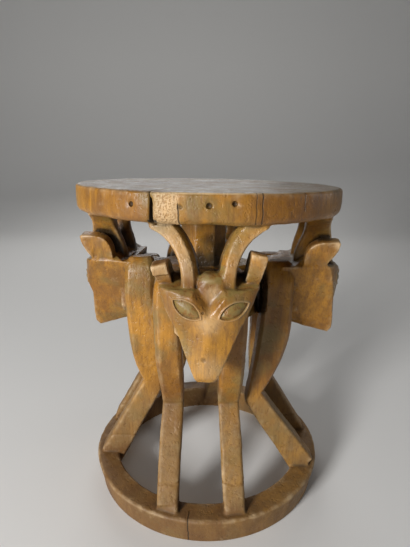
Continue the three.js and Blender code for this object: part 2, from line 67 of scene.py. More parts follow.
# The heads do not all stand out equally far, so the ring's axis lies this far beside
# the middle of the stool's box.
AXIS_SHIFT = (-2.984, -0.474, 0.0)

# The seat's edges and the old split through its rim.
SEAT_LOWER_ROUND = 9.0
SEAT_UPPER_ROUND = 2.5
SPLIT_AZIMUTH = math.radians(-109.7)
SPLIT_DEPTH = 44.0
SPLIT_TIP_WIDTH = 0.4
SPLIT_WAVE = 0.8
# The split at each height: how far it stands aside, and its width at the rim.
SPLIT_PROFILE = ((384.0, -0.6, 5.2), (392.0, -0.3, 5.4), (400.0, 0.2, 5.0), (407.0, 0.6, 4.6),
                 (411.5, 0.3, 3.6), (413.5, -0.8, 1.9), (417.0, -1.6, 1.7), (424.0, -1.2, 1.8))

# The hub, the post, the ring's bevels (foot, top, bore) and the bodies behind the heads.
# AXIS_HOLE is the bore that a turned solid needs, and the even mesh closes it.
HUB_RADIUS = 82.0
HUB_UNDERSIDE = 252.0
HUB_TOP = 308.0
HUB_EDGE = 10.0
HUB_LEVEL_RADIUS = 36.0
HUB_SIDES = 96
HUB_SHIFT = -7.0
POST_TURN = 26.5
POST_SIDES = 8
POST_INTO_SEAT = 8.0
HORN_INTO_SEAT = 6.0
RING_BEVELS = (2.0, 2.5, 1.5)
AXIS_HOLE = 0.4
POST_FOOT = 296.0
POST_SPREAD = 1.5
BODY_HALF_WIDTH = 30.0
BODY_TOP = 309.0
BODY_UNDERSIDE = (254.0, 243.0)
BODY_REACH = 118.0
BODY_EDGE_SHARE = 0.16
BODY_FLAT_SHARE = 0.6
BODY_RISE_SPAN = (0.15, 0.9)

# A leg from its shoulder to its foot on the ring.
SHOULDER_ROUND = 32.0
SHOULDER_LEAN = 6.0
SHOULDER_DRAW = 7.0
SHOULDER_CROWN = 0.5
THIGH_TOP = 275.0
THIGH_OUTSIDE = 108.5
THIGH_INSIDE = 69.0
THIGH_HOLLOW = 7.0
THIGH_BELLY = 195.0
THIGH_MIDDLE = 220.0
THIGH_HALF_WIDTH = 16.5
THIGH_OFFSET = 39.0
KNEE_REACH = 79.0
KNEE_INSIDE = 56.0
KNEE_FOLLOW = 0.8
KNEE_DROP = 14.0
KNEE_HALF_WIDTH = 14.0
KNEE_OFFSET = 36.5
FOOT_HALF_WIDTH = 13.0
FOOT_OFFSET = 42.0
FOOT_OUTSIDE = 153.0
FOOT_END_RADIUS = 157.0
FOOT_INSIDE = 135.0
FOOT_TOP = 39.0
LEG_CHAMFER = 3.0
THIGH_CHAMFER = 5.5
PASTERN_LINE = 64.0
PASTERN_LINE_DEPTH = 0.9

# A head and what is on it; its face is a grid of rows and columns, and the lowest rows
# under the chin rise a little one after the other.
FACE_ROWS = 49
FACE_COLUMNS = 33
CHIN_ROWS = 12
CHIN_ROW_RISE = 0.4
BROW_REACH = 171.0
FACE_BOW_RADIUS = 80.0
HEAD_TOP = 321.0
CROWN_FRONT = 158.0
CROWN_BACK = 110.0
CROWN_RISE = 9.0
CROWN_SLOPE = 0.3
CROWN_BACK_SLOPE = 0.75
CROWN_SIDE_SLOPE = 1.2
HEAD_HALF_WIDTH = 52.0
HEAD_BACK = 98.0
CHIN_HEIGHT = 218.0
CHIN_HALF_WIDTH = 10.0
JAW_DRAW = 4.5
THROAT_HEIGHT = 235.0
JAW_SLOPE = 1.5
CHEEK_HEIGHT = 283.0
CHEEK_HALF_WIDTH = 35.0
CHEEK_FLARE = 0.85
MUZZLE_HEIGHT = 268.0
FOREHEAD_TIP = 293.0
FOREHEAD_SLOPE = 0.8
FOREHEAD_SPREAD = 1.3
BROW_BEVEL = 6.0
BROW_BEVEL_SPAN = (20.0, 44.0)
EYE_LENGTH = 32.0
EYE_OPENING = 15.5
EAR_ROOT_INSIDE = 36.5
EAR_TIP_INSIDE = 42.0
EAR_TIP_OUTSIDE = 58.5
EAR_TIP_SLANT = 0.2
EAR_FRONT = 161.0
EAR_BACK = 121.0
EAR_ROOT = 305.0
EAR_SETBACK = 13.0
EAR_TIP_ROUND = 14.0
EAR_CORNER = 3.5
EAR_BACK_RISE = 24.0
HORN_ROOT = 300.0
HORN_FRONT = 149.0
HORN_BACK = 121.0
HORN_NECK = (10.2, 28.0)
HORN_TOP = (41.0, 60.4)
HORN_BEND_FLOOR = 325.0
HORN_BEND_TOP = 381.0
HORN_INNER_BEND = 366.0
HORN_OUTER_BEND = 367.0
HORN_CHAMFER = 2.5
HORN_FACET = (7.0, 5.0)
HORN_LEAN = 10.0
HORN_LEAN_SPAN = (330.0, 385.0)
HORN_FLARE = 10.0
HORN_FLARE_SPAN = (325.0, 368.0)
POLL_CENTRE = (147.0, 3.5, 314.0)
POLL_RADII = (15.0, 16.5, 22.5)
POLL_SQUARENESS = 0.62
POLL_DENTS = 0.8

# How much paler the lids, the poll and the horns on a head's two sides are painted, from 0 to 1:
# the lids partly worn and partly a painted highlight on the raised rim, the poll's front a painted
# highlight, the horns' fronts paler on one side.
LID_WEAR = 0.4
POLL_WEAR = 0.7
HORN_WEAR = (0.65, 0.13)

# The eyes: offset across, height and slant of the one on each side.
EYES = {-1: (21.9, 302.4, math.radians(32.0)), 1: (26.0, 300.5, math.radians(24.0))}

# The four figures: azimuth, turn of the head, how far the head stands out, reach of the
# muzzle, how far the chin, the knees and the feet stand aside, how far the jaw and the eyes
# are lifted, reach and height of the knees, and heights of the ears, shoulders and body.
FIGURES = (
    dict(azimuth=-90, turn=0, out=0.0, muzzle=168.0, chin=-3.0, knee_aside=-9.0,
         foot_aside=-7.0, jaw_lift=0.0, eye_lift=0.0, knee_reaches=(79.0, 79.0),
         knee_height=141.0, ears=(347.5, 357.5), shoulders=(325.0, 325.0), body=326.0),
    dict(azimuth=0, turn=-6, out=2.5, muzzle=169.0, chin=1.0, knee_aside=-9.0,
         foot_aside=-16.0, jaw_lift=1.5, eye_lift=0.0, knee_reaches=(74.0, 90.0),
         knee_height=143.0, ears=(355.0, 354.0), shoulders=(325.0, 320.0), body=321.0),
    dict(azimuth=94, turn=0, out=0.0, muzzle=168.0, chin=0.0, knee_aside=4.0,
         foot_aside=26.0, jaw_lift=0.0, eye_lift=0.0, knee_reaches=(79.0, 79.0),
         knee_height=146.0, ears=(355.0, 351.0), shoulders=(325.0, 325.0), body=326.0),
    dict(azimuth=180, turn=-6, out=-3.5, muzzle=165.0, chin=-1.0, knee_aside=-8.0,
         foot_aside=-15.0, jaw_lift=-2.0, eye_lift=-7.0, knee_reaches=(89.0, 89.0),
         knee_height=152.0, ears=(353.0, 357.0), shoulders=(313.0, 326.0), body=316.0),
)

# An eye's relief: height of the lid, depth of the groove inside it, bulge of the ball.
LID_HEIGHT = 1.2
EYE_GROOVE = 2.0
EYEBALL_BULGE = 3.4

# Soft forms of a face: height, place across, spread, where they rise and where they fade in z.
FACE_FORMS = ((1.3, 0.0, 7.0, (235.0, 262.0), (288.0, 296.0)),
              (-0.8, 19.0, 8.0, (245.0, 262.0), (280.0, 290.0)))
# Rubbed places of a face, painted paler partly as wear and partly as a painted sheen on the nose
# bridge and muzzle: strength, spread across, height, spread in height.
FACE_WEAR = ((1.0, 13.0, 289.0, 11.0), (0.6, 20.0, 236.0, 16.0))

# Tool marks: size and seed of the scoops, their stretch, their mean depth, how much deeper
# the wide ones are, how much flatter the seat's top is. Ripples: height, size, seed.
SCOOPS = (15.0, 11)
WIDE_SCOOPS = (26.0, 23)
SCOOP_STRETCH = (1.0, 1.0, 0.6)
SCOOP_MEAN = 0.45
WIDE_SCOOP_DEPTH = 1.6
SEAT_FLATNESS = 0.75
RIPPLES = ((0.22, 7.0, 5), (0.45, 34.0, 7))
# How far the hand-cut lines wander: size of the waves, their width and height, seeds.
WANDER_SIZE = 55.0
WANDER = (0.9, 0.9, 0.7)
WANDER_SEEDS = (31, 37, 41)

# The middle of the pale, pitted scar beside the split, and half its width.
PALE_SCAR_AZIMUTH = -104.4
PALE_SCAR_HALF = (9.0, 14.0)

# Softening: where the forehead is rounded over and how the rounding fades, its rounds and
# strength; rounds for the even surface that hollows and edges are measured against, and how
# sunk or raised counts as one.
FOREHEAD_MIDDLE = 304.0
FOREHEAD_FADE = (10.0, 15.0)
FOREHEAD_SIDE_FADE = (12.0, 19.0)
FOREHEAD_ROUNDS = 8
FOREHEAD_SOFTNESS = 0.6
EVEN_ROUNDS = 14
HOLLOW_SPAN = (0.12, 0.9)
EDGE_SPAN = (0.18, 0.85)
# Shelter: number of rays, their start and reach in metres, and which shares count; the material
# paints sheltered places darker as painted shade.
SHELTER_RAYS = 14
SHELTER_START = 0.0006
SHELTER_REACH = 0.09
SHELTER_SPAN = (0.45, 0.95)
# The rubbed fact carries wear and painted highlights; the eyes fact carries film and the painted
# shade on the poll's top; the shelter share is painted as shade.
FACTS = ("hollow", "edge", "rubbed_and_lit", "eyes", "shelter")

# Heights in metres over which a colour comes in or goes.
SEAT_FACE = (0.405, 0.412)
RIM_FOOT = (0.3835, 0.387)
DUST_END = (0.11, 0.17)
FOOT_END = (0.040, 0.052)
LIP_START = (0.4155, 0.4168)
# The painted shade inside the split: half width, reach and heights where it starts and ends.
SLOT_HALF = (4.5, 5.5)
SLOT_REACH = ((118.0, 120.0), (166.2, 167.0))
SLOT_SPAN = ((0.3865, 0.3885), (0.4170, 0.4176))

# Small holes in the rim: azimuth in degrees, height, radius; and how deep they go.
RIM_RADIUS = 168.0
RIM_HOLES = ((-117.2, 405.2, 2.5), (-90.1, 405.6, 2.7), (-81.8, 407.4, 2.6))
RIM_HOLE_DEPTH = 3.2

# The stage, in metres: the floor's half width, how far back it goes, the height of the
# backdrop and the radius of the bend between them; the lamps' sizes and places.
FLOOR_HALF = 6.0
FLOOR_BACK = 3.2
BACKDROP_TOP = 4.0
BACKDROP_BEND = 1.2
LAMPS = (("key", 0.50, (-1.25, -1.70, 0.78)), ("fill", 0.9, (1.9, 0.35, 0.75)),
         ("back", 1.6, (-0.3, 1.9, 1.5)))
LAMP_TARGET = Vector((0.0, 0.0, 0.2))
SKY_COLOUR = (0.95, 0.97, 1.0, 1.0)
CAMERA_PLACE = (-0.00718, -0.55823, 0.44596)
CAMERA_ROLL = math.radians(0.3)
SENSOR_HEIGHT = 36.0

# Thin upright cracks: azimuth in degrees, width, heights, radius of the face they are in.
CRACKS = (
    (-100.2, 0.8, (386.0, 407.0), 168.0),
    (-74.6, 0.5, (386.0, 421.0), 168.0),
    (-72.4, 0.8, (386.0, 419.0), 168.0),
    (-98.2, 0.8, (0.0, 37.0), 160.0),
    (-55.0, 0.6, (398.0, 421.0), 168.0),
    (38.0, 1.1, (386.0, 421.0), 168.0),
    (121.0, 0.9, (386.0, 410.0), 168.0),
    (164.0, 0.7, (396.0, 421.0), 168.0),
    (74.0, 1.0, (0.0, 37.0), 160.0),
)

# Small dark knots on the front head, the rim and the left leg: place and size.
KNOTS = (
    ((-4.8, -168.0, 248.0), 3.2),
    ((-6.0, -170.0, 299.9), 1.4),
    ((-28.0, -165.7, 404.3), 2.6),
    ((-79.5, -100.0, 154.1), 1.6),
    ((-111.7, -110.0, 119.3), 1.6),
)


def mix(a, b, share):
    return a + (b - a) * share


def smooth(value, low, high):
    """A soft step from 0 at low to 1 at high."""
    share = np.clip((value - low) / (high - low), 0.0, 1.0)
    return share * share * (3.0 - 2.0 * share)


def bend(a, b, c, share):
    """The point of a curve that leaves a towards b and arrives at c."""
    rest = 1.0 - share
    return [rest * rest * p + 2.0 * rest * share * q + share * share * r
            for p, q, r in zip(a, b, c)]


def reach_at_height(a, b, c, z):
    """How far out a curved edge lies at a height; a is the upper end."""
    low, high = 0.0, 1.0
    for _ in range(30):
        middle = (low + high) / 2
        if bend(a, b, c, middle)[1] > z:
            low = middle
        else:
            high = middle
    return bend(a, b, c, low)[0]


# ---- closed skins ----


def signed_volume(points, triangles):
    a, b, c = (points[triangles[:, k]] for k in range(3))
    return float(np.einsum("ij,ij->", a, np.cross(b, c)))


def skin(rings):
    """A closed skin over a row of rings with equal numbers of points."""
    rings = np.asarray(rings, float)
    rows, count = rings.shape[:2]
    points = rings.reshape(-1, 3)
    index = np.arange(rows * count).reshape(rows, count)
    after = np.roll(index, -1, axis=1)
    a, b, c, d = index[:-1], after[:-1], index[1:], after[1:]
    walls = [np.stack([a, b, d], -1), np.stack([a, d, c], -1)]
    parts = [w.reshape(-1, 3) for w in walls]
    caps = np.array([points[index[0]].mean(0), points[index[-1]].mean(0)])
    for end, row, flipped in ((0, 0, True), (1, rows - 1, False)):
        hub = np.full(count, rows * count + end)
        edge = (after[row], index[row]) if flipped else (index[row], after[row])
        parts.append(np.stack([hub, edge[0], edge[1]], -1))
    points = np.vstack([points, caps])
    triangles = np.vstack(parts)
    if signed_volume(points, triangles) < 0:
        triangles = triangles[:, ::-1]
    return points, triangles


def joined(shapes):
    """Several skins as one list of points and triangles."""
    points, triangles, start = [], [], 0
    for shape_points, shape_triangles in shapes:
        points.append(shape_points)
        triangles.append(shape_triangles + start)
        start += len(shape_points)
    return np.vstack(points), np.vstack(triangles)


def placed(shape, degrees=0.0, shift=(0.0, 0.0, 0.0)):
    """A skin turned about the upright axis and then moved."""
    points, triangles = shape
    turn = math.radians(degrees)
    spin = np.array([[math.cos(turn), -math.sin(turn), 0.0],
                     [math.sin(turn), math.cos(turn), 0.0], [0.0, 0.0, 1.0]])
    return points @ spin.T + np.asarray(shift), triangles


def turned(section, sides=240):
    """A closed half section turned round the upright axis; it may leave a bore open."""
    section = np.asarray(section, float)
    angles = np.arange(sides) * 2 * math.pi / sides
    grid = np.stack([np.outer(np.cos(angles), section[:, 0]),
                     np.outer(np.sin(angles), section[:, 0]),
                     np.tile(section[:, 1], (sides, 1))], -1)
    count = len(section)
    index = np.arange(sides * count).reshape(sides, count)
    right, up = np.roll(index, -1, axis=0), np.roll(index, -1, axis=1)
    both = np.roll(right, -1, axis=1)
    triangles = np.vstack([np.stack([index, right, both], -1).reshape(-1, 3),
                           np.stack([index, both, up], -1).reshape(-1, 3)])
    points = grid.reshape(-1, 3)
    if signed_volume(points, triangles) < 0:
        triangles = triangles[:, ::-1]
    return points, triangles


def cut_rectangle(inside, outside, middle, half, chamfer, z):
    """A level rectangle with cut corners, from inside to outside."""
    cut = min(chamfer, half * 0.6, (outside - inside) * 0.3)
    near, far = middle - half, middle + half
    return [(outside - cut, near, z), (outside, near + cut, z), (outside, far - cut, z),
            (outside - cut, far, z), (inside + cut, far, z), (inside, far - cut, z),
            (inside, near + cut, z), (inside + cut, near, z)]


# ---- the forms of the stool ----


def seat_section(radius, thickness, height):
    underside = height - thickness
    section = [(AXIS_HOLE, underside), (radius - SEAT_LOWER_ROUND, underside)]
    for step in range(1, 9):
        turn = step / 8 * math.pi / 2
        section.append((radius - SEAT_LOWER_ROUND * (1 - math.sin(turn)),
                        underside + SEAT_LOWER_ROUND * (1 - math.cos(turn))))
    section += [(radius + 0.4, height - thickness / 2), (radius, height - SEAT_UPPER_ROUND),
                (radius - SEAT_UPPER_ROUND, height), (AXIS_HOLE, height)]
    return section


def make_seat(sizes):
    """The seat, tilted a little to its right."""
    radius, height = sizes.seat_radius / MM, sizes.stool_height / MM
    points, triangles = turned(seat_section(radius, sizes.seat_thickness / MM, height))
    tilt = sizes.seat_tilt
    points[:, 2] -= height
    spin = np.array([[math.cos(tilt), 0.0, math.sin(tilt)], [0.0, 1.0, 0.0],
                     [-math.sin(tilt), 0.0, math.cos(tilt)]])
    points = points @ spin.T
    points[:, 2] += height - math.sin(tilt) * radius
    return points, triangles


def make_split(radius):
    """The wedge that opens the seat's rim, narrow above and wide below."""
    rings = []
    for z, aside, width in SPLIT_PROFILE:
        near, far = [], []
        for share in (0.0, 0.25, 0.5, 0.75, 1.0):
            reach = mix(radius - SPLIT_DEPTH, radius + 5.0, share)
            half = 0.5 * mix(SPLIT_TIP_WIDTH, width, share)
            wander = aside * share + SPLIT_WAVE * math.sin(share * 5.0) * (1 - share)
            near.append((reach, wander + half, z))
            far.append((reach, wander - half, z))
        rings.append(near + far[::-1])
    return placed(skin(rings), math.degrees(SPLIT_AZIMUTH))


def make_ring(sizes):
    top, bottom = sizes.ring_radius_top / MM, sizes.ring_radius_bottom / MM
    bore, height = sizes.ring_bore / MM, sizes.ring_height / MM
    foot, rim, inner = RING_BEVELS
    return turned([(bore, 0.0), (bottom - foot, 0.0), (bottom, foot),
                   (mix(bottom, top, 0.5), height / 2), (top, height - rim),
                   (top - rim, height), (bore + inner, height), (bore, height - inner),
                   (bore, height / 2)])


def make_hub(sizes):
    hub = turned([(AXIS_HOLE, HUB_UNDERSIDE), (HUB_RADIUS, HUB_UNDERSIDE),
                  (HUB_RADIUS - HUB_EDGE * 0.5, mix(HUB_UNDERSIDE, HUB_TOP, 0.6)),
                  (HUB_RADIUS - HUB_EDGE, HUB_TOP), (HUB_LEVEL_RADIUS, HUB_TOP),
                  (AXIS_HOLE, HUB_TOP)], HUB_SIDES)
    post = []
    top = (sizes.stool_height - sizes.seat_thickness) / MM + POST_INTO_SEAT
    angles = np.arange(POST_SIDES) * 2 * math.pi / POST_SIDES
    for share in np.linspace(0.0, 1.0, 10):
        reach = sizes.post_radius / MM + POST_SPREAD * (1 - share)
        post.append(np.stack([reach * np.cos(angles), reach * np.sin(angles),
                              np.full(POST_SIDES, mix(POST_FOOT, top, share))], -1))
    post = placed(skin(post), POST_TURN)
    return placed(joined([hub, post]), 0.0, (HUB_SHIFT, 0.0, 0.0))


def make_leg(figure, side):
    """One leg from the shoulder down to the ring; side is -1 or 1."""
    knee_top, knee_reach = figure["knee_height"], figure["knee_reaches"][(side + 1) // 2]
    knee_floor = knee_top - KNEE_DROP
    round_floor = figure["shoulders"][(side + 1) // 2] - SHOULDER_ROUND
    heights = [1.0, 20.0, FOOT_TOP - 0.6, FOOT_TOP, FOOT_TOP + 1.2]
    heights += list(np.linspace(FOOT_TOP + 6, knee_floor, 10))
    heights += list(np.linspace(knee_floor, knee_top, 6)[1:])
    heights += list(np.linspace(knee_top, THIGH_TOP, 24)[1:])
    heights += list(round_floor + SHOULDER_ROUND * np.sin(math.radians(88) * np.arange(13) / 12))

    def outside_at(z):
        if z <= FOOT_TOP:
            return FOOT_OUTSIDE
        if z <= knee_top:
            return mix(knee_reach, FOOT_OUTSIDE, (knee_top - z) / (knee_top - FOOT_TOP))
        if z >= THIGH_TOP:
            return THIGH_OUTSIDE
        return reach_at_height((THIGH_OUTSIDE, THIGH_TOP), (THIGH_OUTSIDE, THIGH_BELLY),
                               (knee_reach, knee_top), z)

    knee = KNEE_INSIDE + (knee_reach - KNEE_REACH) * KNEE_FOLLOW

    def inside_at(z):
        if z <= knee_floor:
            return mix(knee, FOOT_INSIDE, (knee_floor - z) / knee_floor)
        if z >= THIGH_TOP:
            return THIGH_INSIDE
        return reach_at_height((THIGH_INSIDE, THIGH_TOP),
                               (THIGH_INSIDE - THIGH_HOLLOW, THIGH_BELLY), (knee, knee_floor), z)

    rings = []
    for z in heights:
        drop = min(max((knee_top - z) / knee_top, 0.0), 1.0)
        swell = float(smooth(z, knee_top, THIGH_MIDDLE))
        crown = min(max((z - round_floor) / SHOULDER_ROUND, 0.0), 1.0)
        shrink = math.sqrt(1 - crown * crown)
        middle = mix(KNEE_OFFSET, FOOT_OFFSET, drop) + (THIGH_OFFSET - KNEE_OFFSET) * swell
        aside = mix(figure["knee_aside"], figure["foot_aside"], drop)
        widest = mix(KNEE_HALF_WIDTH, FOOT_HALF_WIDTH, drop)
        widest += (THIGH_HALF_WIDTH - KNEE_HALF_WIDTH) * swell
        lean, draw = (1 - shrink) * SHOULDER_LEAN, (1 - shrink) * SHOULDER_DRAW
        chamfer = mix(LEG_CHAMFER, THIGH_CHAMFER, swell)
        rings.append(cut_rectangle(inside_at(z) + draw, outside_at(z) - draw,
                                   side * (middle - lean) + aside,
                                   widest * mix(SHOULDER_CROWN, 1.0, shrink), chamfer, z))
    points, triangles = skin(rings)
    limit = np.sqrt(np.maximum(FOOT_END_RADIUS ** 2 - points[:, 1] ** 2, 0.0))
    low = points[:, 2] < FOOT_TOP + 3
    points[low, 0] = np.minimum(points[low, 0], limit[low])
    return points, triangles


def make_body(figure):
    """The body behind the head, between the two shoulders."""
    rings = []
    for share in np.linspace(0.0, 1.0, 10):
        reach = BODY_REACH * share
        top = mix(BODY_TOP, figure["body"], float(smooth(share, *BODY_RISE_SPAN)))
        floor = mix(*BODY_UNDERSIDE, share)
        edge = (top - floor) * BODY_EDGE_SHARE
        half, flat = BODY_HALF_WIDTH, BODY_HALF_WIDTH * BODY_FLAT_SHARE
        section = ((-half, floor + edge), (-flat, floor), (flat, floor), (half, floor + edge),
                   (half, top - edge), (flat, top), (-flat, top), (-half, top - edge))
        rings.append([(reach, y + figure["knee_aside"] * share, z) for y, z in section])
    return skin(rings)


def face_reach(figure, across, z):
    """How far out the front of the face lies, at a place across and a height."""
    muzzle = mix(figure["muzzle"], BROW_REACH, smooth(z, MUZZLE_HEIGHT, FOREHEAD_TIP))
    jaw = JAW_DRAW * (1 - smooth(z, CHIN_HEIGHT, CHIN_HEIGHT + 2 * JAW_DRAW))
    bow = FACE_BOW_RADIUS - np.sqrt(np.maximum(FACE_BOW_RADIUS ** 2 - across ** 2, 0.0))
    forehead = z - FOREHEAD_TIP - FOREHEAD_SPREAD * np.abs(across)
    forehead = FOREHEAD_SLOPE * np.maximum(0.0, forehead)
    bevel = BROW_BEVEL * (1 - smooth(np.abs(across), *BROW_BEVEL_SPAN))
    brow = np.maximum(0.0, z - HEAD_TOP + bevel)
    return figure["out"] + muzzle - jaw - bow - np.maximum(forehead, brow)


def face_half_width(z):
    """Half the width of the face: straight from chin to cheek to brow."""
    low = mix(CHIN_HALF_WIDTH, CHEEK_HALF_WIDTH,
              np.maximum(0.0, (z - CHIN_HEIGHT) / (CHEEK_HEIGHT - CHIN_HEIGHT)))
    share = np.clip((z - CHEEK_HEIGHT) / (HEAD_TOP - CHEEK_HEIGHT), 0.0, 1.0)
    high = mix(CHEEK_HALF_WIDTH, HEAD_HALF_WIDTH, share ** CHEEK_FLARE)
    return np.where(z < CHEEK_HEIGHT, low, high)


def make_mask(figure):
    """The head without ears, horns and eyes."""
    front = figure["muzzle"] + figure["out"] - JAW_DRAW
    rings = []
    for row, z in enumerate(np.linspace(CHIN_HEIGHT, HEAD_TOP, FACE_ROWS)):
        half = float(face_half_width(z))
        across = np.linspace(-half, half, FACE_COLUMNS)
        ring = np.stack([face_reach(figure, across, z), across, np.full(FACE_COLUMNS, z)], -1)
        back = [(HEAD_BACK, half, z), (HEAD_BACK, -half, z)]
        ring = np.vstack([ring, back])
        ring[:, 1] += chin_lean(figure, z)
        along = np.clip(JAW_SLOPE * (front - ring[:, 0]) / (front - HEAD_BACK), 0.0, 1.0)
        jaw = mix(CHIN_HEIGHT, THROAT_HEIGHT, along) + row * CHIN_ROW_RISE
        if row < CHIN_ROWS:
            ring[:, 2] = np.maximum(ring[:, 2], jaw)
        ring[:, 2] += figure["jaw_lift"] * (1 - float(smooth(z, CHIN_HEIGHT, CHEEK_HEIGHT)))
        rings.append(ring)
    return skin(rings)


def make_crown(figure):
    """The top of the head, which rises from the brow to the ears and horns."""
    rings = []
    for rise in np.linspace(-2.0, CROWN_RISE, 8):
        z = HEAD_TOP + rise
        across = np.linspace(-HEAD_HALF_WIDTH, HEAD_HALF_WIDTH, 17)
        front = np.minimum(CROWN_FRONT + figure["out"] - max(0.0, rise) / CROWN_SLOPE,
                           face_reach(figure, across, HEAD_TOP) - 0.5)
        ring = np.stack([front, across, np.full(17, z)], -1)
        lifted = max(0.0, rise)
        half = HEAD_HALF_WIDTH - CROWN_SIDE_SLOPE * lifted
        rear = CROWN_BACK + figure["out"] + lifted / CROWN_BACK_SLOPE
        rings.append(np.vstack([ring, [(rear, half, z), (rear, -half, z)]]))
    return skin(rings)


def ear_span(z, tip):
    """The inner and the outer face of an ear at a height; the root is flush with the head."""
    rise = np.clip((z - HEAD_TOP) / (tip - HEAD_TOP), 0.0, 1.0)
    inner = mix(EAR_ROOT_INSIDE, EAR_TIP_INSIDE, rise)
    outer = np.where(z < HEAD_TOP, face_half_width(np.minimum(z, HEAD_TOP)) - 0.8,
                     mix(HEAD_HALF_WIDTH - 0.5, EAR_TIP_OUTSIDE, rise ** 0.7))
    return inner, outer


def make_ear(figure, side):
    """A thick upright paddle: its front edge leans out, its back is round."""
    tip, front, back = figure["ears"][(side + 1) // 2], EAR_FRONT, EAR_BACK
    outline = [(back, EAR_ROOT), (front - EAR_SETBACK, EAR_ROOT),
               (front - EAR_SETBACK, HEAD_TOP + 3), (front - EAR_SETBACK / 2, HEAD_TOP + 13),
               (front - 1.5, tip - EAR_TIP_ROUND + 2)]
    corner = ((front, tip - EAR_CORNER), (front + 1, tip - 0.5), (front - EAR_CORNER, tip))
    rear = ((front - EAR_TIP_ROUND, tip), (back, tip), (back, EAR_ROOT + EAR_BACK_RISE))
    for curve in (corner, rear):
        outline += [tuple(bend(*curve, share)) for share in np.linspace(0.0, 1.0, 8)]
    outline = np.array(outline)
    middle = outline.mean(0)
    inner, outer = ear_span(outline[:, 1], tip)
    rings = []
    for place, inset in ((0.0, 0.9), (0.9, 0.0), (-0.9, 0.0), (0.0, 0.9)):
        inward = middle - outline
        inward /= np.linalg.norm(inward, axis=1, keepdims=True)
        flat = outline + inward * inset
        edge = inner if len(rings) < 2 else outer
        across = edge + place
        height = flat[:, 1] - EAR_TIP_SLANT * (across - 50.0) * smooth(flat[:, 1], HEAD_TOP, tip)
        rings.append(np.stack([flat[:, 0] + figure["out"], side * across, height], -1))
    return skin(rings)


def make_horn(figure, side, end):
    """A horn: upright at first, then bent outwards, and upright again under the seat."""
    rings = []
    for z in np.linspace(HORN_ROOT, end, 48):
        inner = reach_at_height((HORN_TOP[0], end), (HORN_NECK[0], HORN_INNER_BEND),
                                (HORN_NECK[0], HORN_BEND_FLOOR), z)
        outer = reach_at_height((HORN_TOP[1], HORN_BEND_TOP), (HORN_NECK[1], HORN_OUTER_BEND),
                                (HORN_NECK[1], HORN_BEND_FLOOR), z)
        front = HORN_FRONT + HORN_LEAN * (1 - float(smooth(z, *HORN_LEAN_SPAN)))
        back = HORN_BACK - HORN_FLARE * (1 - float(smooth(z, *HORN_FLARE_SPAN)))
        front, back = front + figure["out"], back + figure["out"]
        (deep, wide), cut = HORN_FACET, HORN_CHAMFER
        section = ((front - deep, inner), (front, inner + wide), (front, outer - cut),
                   (front - cut, outer), (back + cut, outer), (back, outer - cut),
                   (back, inner + wide), (back + deep, inner))
        rings.append([(reach, side * across, z) for reach, across in section])
    return skin(rings)


def make_poll(figure):
    """The rounded poll between the horns."""
    rings = []
    centre = np.array(POLL_CENTRE) + (figure["out"], 0.0, 0.0)
    for tilt in np.linspace(-0.49, 0.49, 21) * math.pi:
        turn = np.arange(32) * 2 * math.pi / 32
        ring = np.stack([math.cos(tilt) * np.cos(turn), math.cos(tilt) * np.sin(turn),
                         np.full(32, math.sin(tilt))], -1)
        ring = np.sign(ring) * np.abs(ring) ** POLL_SQUARENESS
        rings.append(ring * POLL_RADII + centre)
    return skin(rings)


def make_figure(figure, horn_end):
    """One figure with its head, body and legs, turned to its place."""
    head = [make_mask(figure), make_crown(figure), make_poll(figure)]
    for side in (-1, 1):
        head.append(make_ear(figure, side))
        head.append(make_horn(figure, side, horn_end))
    rest = [make_body(figure), make_leg(figure, -1), make_leg(figure, 1)]
    whole = joined([placed(joined(head), figure["turn"]), joined(rest)])
    return placed(whole, figure["azimuth"])


# ---- noise for hand work ----


def hashed(cells, seed):
    """One repeatable number from -1 to 1 for each whole-number cell."""
    x, y, z = (cells[..., k].astype(np.int64) for k in range(3))
    value = (x * 374761393 + y * 668265263 + z * 1440662683 + seed * 1274126177) & 0xFFFFFFFF
    value = ((value ^ (value >> 13)) * 1274126177) & 0xFFFFFFFF
    return ((value ^ (value >> 16)) & 0xFFFF) / 32767.5 - 1.0


def soft_noise(points, size, seed):
    """Smooth noise from -1 to 1 with humps of about this size."""
    scaled = points / size
    cell = np.floor(scaled)
    part = scaled - cell
    part = part * part * (3 - 2 * part)
    total = 0.0
    for corner in np.ndindex(2, 2, 2):
        weight = np.prod(np.where(np.array(corner) == 1, part, 1 - part), axis=-1)
        total = total + weight * hashed(cell + corner, seed)
    return total


def scoops(points, size, seed):
    """Shallow round scoops with ridges between them, as a gouge leaves: 0 to about 1."""
    scaled = points / size
    cell = np.floor(scaled)
    nearest = np.full(len(points), 9.0)
    for step in np.ndindex(3, 3, 3):
        near = cell + (np.array(step) - 1)
        jitter = np.stack([hashed(near, seed + k) for k in range(3)], -1) * 0.4 + 0.5
        gap = near + jitter - scaled
        nearest = np.minimum(nearest, np.einsum("ij,ij->i", gap, gap))
    return np.minimum(nearest, 1.0)


# ---- mesh tools ----


def mesh_from(name, points, triangles):
    mesh = bpy.data.meshes.new(name)
    mesh.from_pydata((np.asarray(points) * MM).tolist(), [], np.asarray(triangles).tolist())
    mesh.validate()
    return mesh


def read_rows(items, key, width, kind=np.float32):
    flat = np.empty(len(items) * width, kind)
    items.foreach_get(key, flat)
    return flat.reshape(-1, width)


def read_points(mesh):
    return read_rows(mesh.vertices, "co", 3).astype(float) / MM


def read_normals(mesh):
    return read_rows(mesh.vertices, "normal", 3).astype(float)


def read_edges(mesh):
    return read_rows(mesh.edges, "vertices", 2, np.int32)


def write_points(mesh, points):
    mesh.vertices.foreach_set("co", (points * MM).astype(np.float32).ravel())
    mesh.update()


